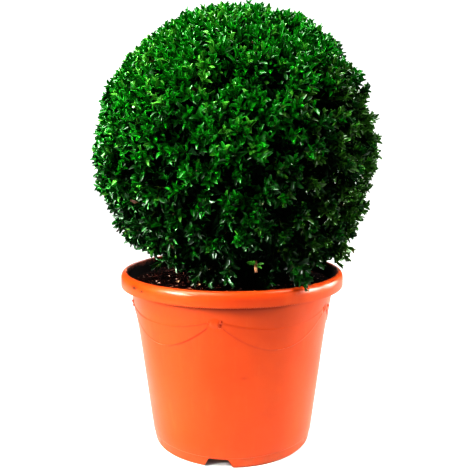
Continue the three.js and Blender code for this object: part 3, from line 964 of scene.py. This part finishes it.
def twigLines(limb, steps):
    share = np.linspace(0, 1, steps + 1)[None, :, None]
    lines = [limb[name][:, None] for name in ("starts", "startAlong", "ends", "endAlong")]
    points, _ = hermite(*lines, share)
    radii = np.linspace(limb["order"]["start"], limb["order"]["end"], steps + 1)
    return points, np.broadcast_to(radii, points.shape[:2])


def makeTwigs(name, names, steps, sides, material):
    points, radii, edges, start = [], [], [], 0
    for limbName in names:
        somePoints, someRadii = twigLines(limbs[limbName], steps)
        index = start + np.arange(somePoints.shape[0] * (steps + 1)).reshape(-1, steps + 1)
        edges.append(np.stack([index[:, :-1], index[:, 1:]], axis=-1).reshape(-1, 2))
        points.append(somePoints.reshape(-1, 3))
        radii.append(someRadii.reshape(-1))
        start += index.size
    mesh = bpy.data.meshes.new(name)
    mesh.from_pydata((np.concatenate(points) * mm).tolist(), np.concatenate(edges).tolist(), [])
    mesh.attributes.new("twigRadius", "FLOAT", "POINT").data.foreach_set("value", np.concatenate(radii) * mm)
    twigs = runTree(newObject(name, mesh), twigTubes, {
        "Sides": sides, "Thickness": 1.0, "Material": material})
    twigs.data.polygons.foreach_set("use_smooth", [True] * len(twigs.data.polygons))
    return finishPiece(twigs, "bark", "foliage_ball")


twigLook = {
    "roughness": 0.6, "specular": 0.3, "speckles": {"scale": 120.0, "low": 0.4, "high": 0.62},
    "grain": {"Broad scale": 300.0, "Fine scale": 1500.0}, "bump": {"strength": 0.4, "distance": 0.0006},
}
# the two colours of each kind of twig
twigColours = {
    "woodyTwig": ((0.16, 0.11, 0.055, 1), (0.30, 0.22, 0.12, 1)),
    "youngTwig": ((0.055, 0.13, 0.015, 1), (0.16, 0.20, 0.04, 1)),
    "cutWood": ((0.50, 0.36, 0.20, 1), (0.62, 0.46, 0.30, 1)),
    "peeledWood": ((0.36, 0.13, 0.05, 1), (0.75, 0.42, 0.27, 1)),
}
twigWood = {name: speckledMaterial(name, *pair, twigLook) for name, pair in twigColours.items()}
makeTwigs("twigs_woody", ["spray", "shoot"], steps=5, sides=5, material=twigWood["woodyTwig"])
makeTwigs("twigs_young", ["tip"], steps=4, sides=4, material=twigWood["youngTwig"])


# stubs that the shears left: how many, how far out they end, their size, and one bare at the front
stubs = {
    "count": 90, "low": 0.82, "high": 0.93, "restless": 0.35, "length": 11, "radius": 1.0, "cap": 0.4,
    "bare": ((29.5, -114, 276), (30.5, -122.5, 263.5)), "bareRadius": 2.5, "alone": 45,
}


def addLimbs(name, starts, ends, along, startRadius, endRadius):
    limbs[name] = {
        "starts": starts, "ends": ends, "startAlong": along, "endAlong": along,
        "order": {"start": startRadius, "end": endRadius}}


def makeStubs():
    s = stubs
    noise = np.random.default_rng(crown["seed"] + 9)
    directions = evenDirections(s["count"], randomFrom(crown["seed"] + 4))
    share = noise.uniform(s["low"], s["high"], len(directions))
    ends = np.array(crown["centre"]) + directions * (reachAlong(directions) * share)[:, None]
    along = unit(directions + noise.normal(0, s["restless"], directions.shape))
    kept = staysClear(ends) & staysClear(ends - along * s["length"])
    kept &= np.linalg.norm(ends - np.array(s["bare"][0]), axis=1) > s["alone"]
    ends, along = ends[kept], along[kept]
    addLimbs("stub", ends - along * s["length"], ends, along, s["radius"] * 1.1, s["radius"])
    addLimbs("cap", ends - along * 0.1, ends + along * s["cap"], along, s["radius"] * 1.02, s["radius"] * 0.9)
    foot, end = (np.array([point], float) for point in s["bare"])
    addLimbs("bare", foot, end, unit(end - foot), s["bareRadius"], s["bareRadius"] * 0.85)
    makeTwigs("twigs_cut", ["stub"], steps=2, sides=6, material=twigWood["woodyTwig"])
    makeTwigs("twig_bare", ["bare"], steps=3, sides=8, material=twigWood["peeledWood"])
    makeTwigs("twigs_cut_ends", ["cap"], steps=1, sides=6, material=twigWood["cutWood"])


makeStubs()
print("twigs made")


# Leaves: one plain green to a piece, dealt out by spray

leafShape = {
    "length": 15.2, "width": 5.9, "sizeSpread": 0.18, "tilt": 0.20, "sizes": [0.62, 0.82, 0.95, 1.0],
    "internode": 5.1, "pairs": 8, "innerInternode": 4.2, "innerPairs": 14,
    "innerMore": {"shoot": 0, "spray": 8, "branch": 16, "bough": 30},
    "innerSize": 1.7, "innerLean": 76, "leanAtTip": 22, "leanBelow": 45, "leanBy": 4, "towardsLight": 0.25,
}
# outlines: along the leaf, and half its width as a share of the whole
innerOutline = [(0.0, 0.0), (0.52, 0.5), (1.0, 0.0)]
leafOutline = [(0.0, 0.0), (0.27, 0.36), (0.62, 0.5), (0.9, 0.3), (1.0, 0.0)]
leafBends = [(0.45, -0.10), (0.30, 0.06), (0.60, -0.16)]  # how the margins and the tip bend, by template


def leafTemplates(name, outline):
    # leaves a unit long and wide, folded along the midrib and bent towards the tip
    group = bpy.data.collections.new(name)
    count = len(outline)
    for number, (margin, tip) in enumerate(leafBends):
        spine = [(x, 0.0, tip * x * x) for x, _ in outline]
        left = [(x, y, tip * x * x + margin * y) for x, y in outline[1:-1]]
        right = [(x, -y, z) for x, y, z in left]
        faces = []
        for side, turned in ((count, False), (2 * count - 2, True)):
            edge = [0] + [side + i for i in range(count - 2)] + [count - 1]
            for i in range(count - 1):
                face = list(dict.fromkeys((i, i + 1, edge[i + 1], edge[i])))
                faces.append(face[::-1] if turned else face)
        mesh = bpy.data.meshes.new(f"{name}{number}")
        mesh.from_pydata(spine + left + right, [], faces)
        mesh.polygons.foreach_set("use_smooth", [True] * len(mesh.polygons))
        group.objects.link(bpy.data.objects.new(f"{name}{number}", mesh))
    return group


def dropTemplates(group):
    for template in list(group.objects):
        bpy.data.objects.remove(template)
    bpy.data.collections.remove(group)


def addRandom(tree, kind, low, high, seed):
    # the node's sockets by kind: where its lowest value goes in and where its result comes out
    first, result = {"FLOAT_VECTOR": (0, 0), "FLOAT": (2, 1), "INT": (4, 2)}[kind]
    inputs = {first: low, first + 1: high, "Seed": seed}
    node = addNode(tree, "FunctionNodeRandomValue", {"data_type": kind}, inputs)
    return node.outputs[result]


def addInstances(tree, points, collection, which, rotation, scale):
    templates = addNode(tree, "GeometryNodeCollectionInfo", inputs={
        "Collection": collection, "Separate Children": True, "Reset Children": True}).outputs["Instances"]
    return addNode(tree, "GeometryNodeInstanceOnPoints", inputs={
        "Points": points, "Instance": templates, "Pick Instance": True, "Instance Index": which,
        "Rotation": rotation, "Scale": scale}).outputs["Instances"]


def joinVector(tree, x, y, z):
    return addNode(tree, "ShaderNodeCombineXYZ", inputs={"X": x, "Y": y, "Z": z}).outputs[0]


def leafTree():
    # a leaf on every point, its tip and its face turned as the point says
    tree, start, end = newTree("leafSprays", "GeometryNodeTree", {
        "Geometry": ("Geometry", None), "Leaves": ("Collection", None), "Length": ("Float", 0.013),
        "Width": ("Float", 0.007), "Size spread": ("Float", 0.15), "Tilt": ("Float", 0.2), "Seed": ("Int", 1),
        "Material": ("Material", None),
    }, {"Geometry": "Geometry"})
    stand = addNode(tree, "FunctionNodeAxesToRotation", {"primary_axis": "X", "secondary_axis": "Z"}, {
        "Primary Axis": readAttribute(tree, "leafAlong", "FLOAT_VECTOR"),
        "Secondary Axis": readAttribute(tree, "leafFacing", "FLOAT_VECTOR")}).outputs["Rotation"]
    less = addMath(tree, "SUBTRACT", 1.0, start["Size spread"])
    more = addMath(tree, "ADD", 1.0, start["Size spread"])
    own = addRandom(tree, "FLOAT", less, more, start["Seed"])
    size = addMath(tree, "MULTIPLY", readAttribute(tree, "leafSize", "FLOAT"), own)
    length = addMath(tree, "MULTIPLY", size, start["Length"])
    width = addMath(tree, "MULTIPLY", size, start["Width"])
    which = addRandom(tree, "INT", 0, len(leafBends) - 1, start["Seed"])
    scale = joinVector(tree, length, width, length)
    placed = addInstances(tree, start["Geometry"], start["Leaves"], which, stand, scale)
    back = addMath(tree, "MULTIPLY", start["Tilt"], -1.0)
    sway = addRandom(tree, "FLOAT_VECTOR", back, start["Tilt"], start["Seed"])
    turnBy = addNode(tree, "FunctionNodeEulerToRotation", inputs={0: sway}).outputs[0]
    turned = addNode(tree, "GeometryNodeRotateInstances", inputs={"Instances": placed, "Rotation": turnBy})
    return finishTree(tree, start, end, turned.outputs["Instances"])


def leafStations(limb, internode, pairs, sizes, steady=None):
    # opposite pairs from the limb's end back, each pair a quarter turn from the last
    s = leafShape
    length = np.linalg.norm(limb["ends"] - limb["starts"], axis=1)
    made = []
    for pair in range(pairs):
        back = (pair * internode + 0.5) / length
        share = np.clip(1 - back, 0, 1)[:, None]
        root, along = hermite(limb["starts"], limb["startAlong"], limb["ends"], limb["endAlong"], share)
        level = unit(np.cross([0.0, 0.0, 1.0], along) + 1e-4)
        upright = np.cross(along, level)
        lean = s["leanAtTip"] + (s["leanBelow"] - s["leanAtTip"]) * min(1, pair / s["leanBy"])
        lean = math.radians(steady or lean)
        for half in (0, math.pi):
            turn = (limb["turn"] + half + pair * math.pi / 2)[:, None]
            side = level * np.cos(turn) + upright * np.sin(turn)
            axis = unit(along * math.cos(lean) + side * math.sin(lean))
            facing = unit(along + light * s["towardsLight"])
            facing = unit(facing - axis * np.sum(facing * axis, axis=1, keepdims=True))
            size = np.full(len(root), sizes[min(pair, len(sizes) - 1)])
            tip = root + axis * (s["length"] * size)[:, None]
            kept = (back < 0.98) & staysClear(root) & staysClear(tip) & insideCrown(tip, limb["beyond"])
            columns = (root, axis, facing, size, np.arange(len(root)), np.full(len(root), pair))
            made.append([column[kept] for column in columns])
    return [np.concatenate(column) for column in zip(*made)]


# young leaves on the bare stub: root, heading, which way they face, size
youngLeaves = [
    ((28, -120, 272), (-0.70, -0.45, 0.40), (0.3, -0.7, 0.6), 0.80),
    ((31, -120, 272), (0.80, -0.35, 0.35), (-0.2, -0.7, 0.7), 0.80),
    ((29, -120, 273), (-0.25, -0.60, 0.65), (0.0, -0.8, 0.5), 0.65),
    ((31, -121, 270), (0.55, -0.60, -0.10), (0.1, -0.6, 0.8), 0.55),
]
# the plain colours that sprays and single leaves are dealt: dark, mid and bright are one green with painted
# shade and painted light, lime is young leaves and painted light on the most lit ones, deep is painted shade
# on the inner leaves
leafTints = {
    "deep": (0.0009, 0.0158, 0.0018),
    "dark": (0.0028, 0.0458, 0.0027),
    "olive": (0.0391, 0.1270, 0.0126),
    "mid": (0.0037, 0.0933, 0.0036),
    "bright": (0.0062, 0.210, 0.0056),
    "lime": (0.0977, 0.3696, 0.0405),
    "tan": (0.100, 0.038, 0.020),
}


# roughness and how strongly they reflect
leafGloss = {"outer": (0.30, 0.55), "inner": (0.7, 0.1)}
dealing = {
    # the kinds from painted shade to painted light, and the limits between them
    "kinds": ["dark", "mid", "bright", "lime"], "limits": [0.36, 0.67, 1.08],
    # how much sprays and leaves vary, and how much darker each pair is than the one before it
    "perSpray": 0.16, "perLeaf": 0.05, "perPairBack": 0.035,
    # how much painted light the upper left and the front get
    "left": 0.28, "leftLevel": 0.3, "front": 0.07,
    # the shares of other kinds, and the most leaves in one piece
    "olive": 0.85, "fresh": 0.045, "freshPairs": 3, "tan": 0.0017, "mostOuter": 16000, "mostInner": 45000,
}


def leafMaterial(name, colour, roughness, specular):
    material = bpy.data.materials.new(name)
    material.use_nodes = True
    feed(material.node_tree, material.node_tree.nodes["Principled BSDF"], {
        "Base Color": (*colour, 1), "Roughness": roughness, "Specular IOR Level": specular})
    return material


leafSprays = leafTree()
outerLeaf = leafTemplates("outerLeaf", leafOutline)
innerLeaf = leafTemplates("innerLeaf", innerOutline)


def makeLeaves(name, templates, stations, colour, gloss, seed):
    root, along, facing, size = stations
    mesh = bpy.data.meshes.new(name)
    mesh.from_pydata((root * mm).tolist(), [], [])
    for label, kind, key, values in (
        ("leafAlong", "FLOAT_VECTOR", "vector", along), ("leafFacing", "FLOAT_VECTOR", "vector", facing),
        ("leafSize", "FLOAT", "value", size),
    ):
        mesh.attributes.new(label, kind, "POINT").data.foreach_set(key, values.ravel())
    leaves = runTree(newObject(name, mesh), leafSprays, {
        "Leaves": templates, "Length": leafShape["length"] * mm, "Width": leafShape["width"] * mm,
        "Size spread": leafShape["sizeSpread"], "Tilt": leafShape["tilt"], "Seed": seed,
        "Material": leafMaterial(name, colour, *gloss)})
    return finishPiece(leaves, "foliage", "foliage_ball")


def innerLeaves():
    # big dark leaves all along the older limbs close the ball inside; their near-black green is painted shade
    s, rows = leafShape, []
    for name, more in s["innerMore"].items():
        rows.append(leafStations(
            limbs[name], s["innerInternode"], s["innerPairs"] + more, [s["innerSize"]], s["innerLean"]))
    return [np.concatenate(columns) for columns in zip(*rows)]


def dealKinds(tip, spray, pair):
    # outer leaves painted lighter or darker by how far their spray looks to the light, some of them olive,
    # fresh or tan
    d = dealing
    noise = np.random.default_rng(crown["seed"] + 5)
    across, ahead, height = tip["directions"].T
    lit = tip["directions"] @ light * 0.5 + 0.5 + noise.normal(0, d["perSpray"], len(tip["ends"]))
    own = lit[spray] + noise.normal(0, d["perLeaf"], len(spray)) - d["perPairBack"] * pair
    own += (d["left"] * smoothStep(-0.2, -0.7, across) * (height - d["leftLevel"]))[spray]
    own += (d["front"] * smoothStep(0.7, 0.95, -ahead))[spray]
    kind = np.array(d["kinds"])[np.searchsorted(d["limits"], own)]
    share = d["olive"] * smoothStep(0.15, 0.8, across) * smoothStep(0.75, 0.2, height)
    dull = noise.random(len(tip["ends"])) < share
    kind[dull[spray] & (kind != "lime")] = "olive"
    chance = noise.random(len(kind))
    fresh = chance < d["fresh"] * smoothStep(-0.85, -0.3, height)[spray]
    kind[fresh & (pair < d["freshPairs"])] = "lime"
    kind[chance > 1 - d["tan"]] = "tan"
    return kind


def dealLeaves():
    outer = leafStations(limbs["tip"], leafShape["internode"], leafShape["pairs"], leafShape["sizes"])
    inner = innerLeaves()
    kind = dealKinds(limbs["tip"], outer[4], outer[5])
    extra = [np.array(column, float) for column in zip(*youngLeaves)]
    total = 0
    for number, (tint, colour) in enumerate(leafTints.items()):
        stations = [column[kind == tint] for column in outer[:4]]
        templates, gloss, most = outerLeaf, leafGloss["outer"], dealing["mostOuter"]
        if tint == "lime":
            stations = [np.concatenate(both) for both in zip(stations, extra)]
        # the inner leaves take the deep tint, painted shade
        if tint == "deep":
            stations, templates, gloss, most = inner[:4], innerLeaf, leafGloss["inner"], dealing["mostInner"]
        for part, first in enumerate(range(0, len(stations[0]), most)):
            some = [column[first:first + most] for column in stations]
            makeLeaves(f"leaves_{tint}_{part + 1}", templates, some, colour, gloss, 20 + number)
        total += len(stations[0])
    print("leaves made:", total)


dealLeaves()
dropTemplates(outerLeaf)
dropTemplates(innerLeaf)


# Compost

compostShape = {
    "floor": 16.8, "edge": 229, "crown": 232, "crownRadius": 45, "gap": 0.3, "foot": 3.3, "highest": 1.2,
    "rings": 70, "wallRings": 26, "columns": 220,
    "lump": 1.6, "waves": [38, 22, 13, 8, 5.5], "perWave": 3,
    "plainInside": 26, "lumpyOutside": 40, "plainBy": 12,
    "openInner": 27, "openRings": 16, "openColumns": 72, "openGap": 3,
}
compostLook = {
    "wet": (0.0012, 0.0006, 0.0005, 1), "brown": (0.014, 0.004, 0.0025, 1), "fibre": (0.09, 0.022, 0.012, 1),
    "crumbs": {"scale": 130.0, "low": 0.4, "high": 0.66},
    "fibres": {"scale": 420.0, "low": 0.62, "high": 0.74, "amount": 0.7},
    "grain": {"Broad scale": 160.0, "Fine scale": 700.0, "Fine share": 0.5},
}


def lumps(x, y, seed):
    # a smooth random height from a few turned waves
    waves, each = compostShape["waves"], compostShape["perWave"]
    noise = np.random.default_rng(seed)
    height = 0
    for wave in waves:
        for _ in range(each):
            turn, phase = noise.uniform(0, fullTurn, 2)
            away = x * np.cos(turn) + y * np.sin(turn)
            height = height + wave / waves[0] * np.sin(away * fullTurn / wave + phase)
    return height / each


def soilRing(around, radius, edge):
    # one ring of the compost's uneven top, which falls a little towards the wall
    c = compostShape
    fall = (c["edge"] - c["crown"]) * max(0, radius - c["crownRadius"]) / (edge - c["crownRadius"])
    ring = polar(around, radius, c["crown"] + fall)
    fade = smoothStep(c["plainInside"], c["lumpyOutside"], radius)
    fade = fade * smoothStep(edge, edge - c["plainBy"], radius)
    ring[:, 2] += c["lump"] * fade * lumps(ring[:, 0], ring[:, 1], 8)
    return ring


def compostMaterial():
    c = compostLook
    material, tree, surface, place = newMaterial("compost", roughness=1.0, specular=0.05)
    colour = mottled(tree, place, c["wet"], c["brown"], **c["crumbs"])
    feed(tree, surface, {"Base Color": mottled(tree, place, colour, c["fibre"], **c["fibres"])})
    addBump(tree, surface, place, c["grain"], strength=1.0, distance=0.003)
    return material


def makeCompost():
    c, columns = compostShape, compostShape["columns"]
    around = np.arange(columns) * 360 / columns
    edge = float(innerRadius(c["edge"])) - c["gap"]
    radii = np.linspace(0, 1, c["rings"] + 1)[1:] ** 0.8 * (edge - 1.5)
    rows = [polar(around, float(innerRadius(c["floor"])) - c["foot"], c["floor"])]
    for z in np.linspace(c["floor"] + 3, c["edge"] - 3, c["wallRings"]):
        rows.append(polar(around, float(innerRadius(z)) - c["gap"], z))
    for radius in radii[::-1]:
        ring = soilRing(around, radius, edge)
        ring[:, 2] = np.minimum(ring[:, 2], c["crown"] + c["highest"])
        rows.append(ring)
    points = np.concatenate([[[0, 0, c["floor"]]], *rows, [[0, 0, c["crown"]]]])
    faces = ringFaces(len(rows), columns, first=1)
    last = 1 + (len(rows) - 1) * columns
    for j in range(columns):
        k = (j + 1) % columns
        faces += [(0, 1 + k, 1 + j), (len(points) - 1, last + j, last + k)]
    compost = meshPiece("compost_body", points * mm, faces, compostMaterial())
    return finishPiece(compost, "compost", "compost")


def scatterTree():
    # bits strewn over the faces of a surface
    tree, start, end = newTree("strewnBits", "GeometryNodeTree", {
        "Geometry": ("Geometry", None), "Bits": ("Collection", None), "Density": ("Float", 1000.0),
        "Smallest": ("Float", 0.5), "Largest": ("Float", 1.5), "Turn": ("Float", 6.3), "Seed": ("Int", 1),
        "Kinds": ("Int", 2), "Material": ("Material", None),
    }, {"Geometry": "Geometry"})
    spread = addNode(tree, "GeometryNodeDistributePointsOnFaces", inputs={
        "Mesh": start["Geometry"], "Density": start["Density"], "Seed": start["Seed"]})
    size = addRandom(tree, "FLOAT", start["Smallest"], start["Largest"], start["Seed"])
    which = addRandom(tree, "INT", 0, start["Kinds"], start["Seed"])
    widest = joinVector(tree, start["Turn"], start["Turn"], fullTurn)
    tilt = addRandom(tree, "FLOAT_VECTOR", (0, 0, 0), widest, start["Seed"])
    placed = addInstances(tree, spread.outputs["Points"], start["Bits"], which, tilt, size)
    return finishTree(tree, start, end, placed)


strewnBits = scatterTree()


def bitTemplates(name, shapes):
    # each shape: (length, width, height, roughness) in millimetres, a lump of few faces
    group = bpy.data.collections.new(name)
    for number, (length, width, height, rough) in enumerate(shapes):
        noise = np.random.default_rng(40 + number)
        form = bmesh.new()
        bmesh.ops.create_icosphere(form, subdivisions=1, radius=1.0)
        for vertex in form.verts:
            swell = 1 + noise.normal(0, rough)
            vertex.co = Vector((vertex.co.x * length, vertex.co.y * width, vertex.co.z * height)) * swell * mm
        mesh = bpy.data.meshes.new(f"{name}{number}")
        form.to_mesh(mesh)
        form.free()
        group.objects.link(bpy.data.objects.new(f"{name}{number}", mesh))
    return group


def topOfCompost():
    # the open surface that bits are strewn on
    c, columns = compostShape, compostShape["openColumns"]
    around = np.arange(columns) * 360 / columns
    edge = float(innerRadius(c["edge"])) - c["gap"] - c["openGap"]
    rings = [soilRing(around, radius, edge) for radius in np.linspace(c["openInner"], edge, c["openRings"])]
    return np.concatenate(rings) * mm, [face[::-1] for face in ringFaces(len(rings), columns)]


litterLook = {
    "roughness": 0.9, "specular": 0.08, "speckles": {"scale": 190.0, "low": 0.4, "high": 0.62},
    "grain": {"Broad scale": 500.0, "Fine scale": 2000.0}, "bump": {"strength": 0.6, "distance": 0.0006},
}
litter = {
    "compost_crumbs": {
        "shapes": [(1, 0.9, 0.8, 0.15), (1.3, 0.8, 0.7, 0.18), (1.1, 1.0, 0.6, 0.2)],
        "density": 52000.0, "smallest": 0.5, "largest": 1.7, "turn": 6.3, "seed": 4,
        "first": (0.0015, 0.0008, 0.0006, 1), "second": (0.060, 0.016, 0.011, 1)},
    "compost_fibres": {
        "shapes": [(4.5, 0.45, 0.35, 0.12), (3.0, 0.7, 0.4, 0.15), (6.5, 0.35, 0.3, 0.1)],
        "density": 7000.0, "smallest": 0.5, "largest": 1.3, "turn": 0.35, "seed": 6,
        "first": (0.05, 0.010, 0.006, 1), "second": (0.36, 0.11, 0.07, 1)},
    "compost_chips": {
        "shapes": [(4.0, 2.0, 0.7, 0.12), (2.6, 1.8, 0.8, 0.15)],
        "density": 2300.0, "smallest": 0.3, "largest": 1.2, "turn": 0.45, "seed": 9,
        "first": (0.12, 0.045, 0.035, 1), "second": (0.70, 0.48, 0.40, 1)},
    "fallen_leaves": {
        "density": 400.0, "smallest": 6.0 * mm, "largest": 13.0 * mm, "turn": 0.5, "seed": 12,
        "first": (0.14, 0.08, 0.03, 1), "second": (0.55, 0.36, 0.20, 1)},
}


def makeLitter():
    for name, kind in litter.items():
        if "shapes" in kind:
            bits, kinds = bitTemplates(name + "Bit", kind["shapes"]), len(kind["shapes"])
        else:
            bits, kinds = leafTemplates(name + "Leaf", leafOutline), len(leafBends)
        piece = runTree(meshPiece(name, *topOfCompost()), strewnBits, {
            "Bits": bits, "Kinds": kinds - 1, "Density": kind["density"], "Turn": kind["turn"],
            "Smallest": kind["smallest"], "Largest": kind["largest"], "Seed": kind["seed"],
            "Material": speckledMaterial(name, kind["first"], kind["second"], litterLook)})
        dropTemplates(bits)
        finishPiece(piece, "compost", "compost")


makeCompost()
makeLitter()
print("compost made")


# Floor, light and camera

studio = {
    "floor": 3.4, "floorGlow": 0.30, "horizon": 0.04, "zenith": 0.16, "seen": 1.0,
    "softboxes": [
        # name, place, size, watts, what it points at, spread in degrees
        ("left", (-1.33, -0.93, 0.72), (0.3, 0.7), 2.4, (0, 0, 0.08), 24),
        ("right", (1.49, -0.18, 0.48), (0.3, 0.6), 2.1, (0, 0, 0.10), 40),
        ("edge", (1.39, 0.56, 0.35), (0.4, 0.5), 1.0, (0, 0, 0.12), 45),
        ("front", (-0.35, -1.40, 1.50), (0.9, 0.6), 6.4, (0, 0, 0.25), 180),
        ("above", (-0.80, -0.50, 1.75), (1.1, 1.1), 64.0, (0, 0, 0.42), 180),
        ("high", (1.00, -0.20, 1.60), (0.5, 0.5), 27.0, (0, 0, 0.40), 180),
        ("behind", (0.40, 1.70, 1.40), (0.6, 0.6), 24.0, (0, 0, 0.35), 180),
    ],
}
shot = {
    "distance": 861, "height": 410.5, "pitch": 7.75, "focalPixels": 608.0, "framePixels": 470,
    "potColumn": 232, "sensor": 36.0,
}


def makeFloor():
    half = studio["floor"] / 2
    corners = [(-half, -half, 0), (half, -half, 0), (half, half, 0), (-half, half, 0)]
    material, tree, surface, _ = newMaterial("paleFloor", roughness=0.9, specular=0.1)
    # the floor shows nearly white, and throws less light back than it shows; its glow fades where things
    # stand close, a painted shade under and beside the pot
    seen = addNode(tree, "ShaderNodeLightPath").outputs["Is Camera Ray"]
    opened = addNode(tree, "ShaderNodeAmbientOcclusion", inputs={"Distance": 0.08}).outputs["AO"]
    glow = addMath(tree, "MULTIPLY", addMath(tree, "MULTIPLY", seen, studio["floorGlow"]), opened)
    feed(tree, surface, {
        "Base Color": (0.55, 0.55, 0.55, 1), "Emission Color": (1, 1, 1, 1), "Emission Strength": glow})
    meshPiece("floor", corners, [(0, 1, 2, 3)], material)


def makeLights():
    world = bpy.data.worlds.new("studio")
    scene.world = world
    world.use_nodes = True
    tree = world.node_tree
    # the backdrop shows white, and lights the plant less than it shows, most from overhead
    upwards = splitVector(tree, addNode(tree, "ShaderNodeTexCoord").outputs["Generated"])["Z"]
    sky = addRange(tree, upwards, toMin=studio["horizon"], toMax=studio["zenith"])
    seen = addNode(tree, "ShaderNodeLightPath").outputs["Is Camera Ray"]
    feed(tree, tree.nodes["Background"], {
        "Color": (1, 1, 1, 1), "Strength": addRange(tree, seen, toMin=sky, toMax=studio["seen"])})
    for name, place, (width, height), watts, aim, spread in studio["softboxes"]:
        lamp = bpy.data.lights.new(name, "AREA")
        lamp.shape, lamp.size, lamp.size_y, lamp.energy = "RECTANGLE", width, height, watts
        lamp.spread = math.radians(spread)
        holder = newObject(name, lamp)
        holder.location = place
        holder.rotation_mode = "QUATERNION"
        holder.rotation_quaternion = (Vector(aim) - Vector(place)).to_track_quat("-Z", "Y")


def makeCamera():
    s = shot
    lens = bpy.data.cameras.new("camera")
    lens.sensor_width = s["sensor"]
    lens.lens = s["focalPixels"] / s["framePixels"] * s["sensor"]
    camera = newObject("camera", lens)
    offset = (s["framePixels"] / 2 - s["potColumn"]) / s["focalPixels"] * s["distance"]
    camera.location = (offset * mm, -s["distance"] * mm, s["height"] * mm)
    camera.rotation_euler = (math.radians(90 - s["pitch"]), 0, 0)
    scene.camera = camera


makeFloor()
makeLights()
makeCamera()
scene.view_settings.view_transform = "Standard"
scene.view_settings.look = "High Contrast"
print("studio made")
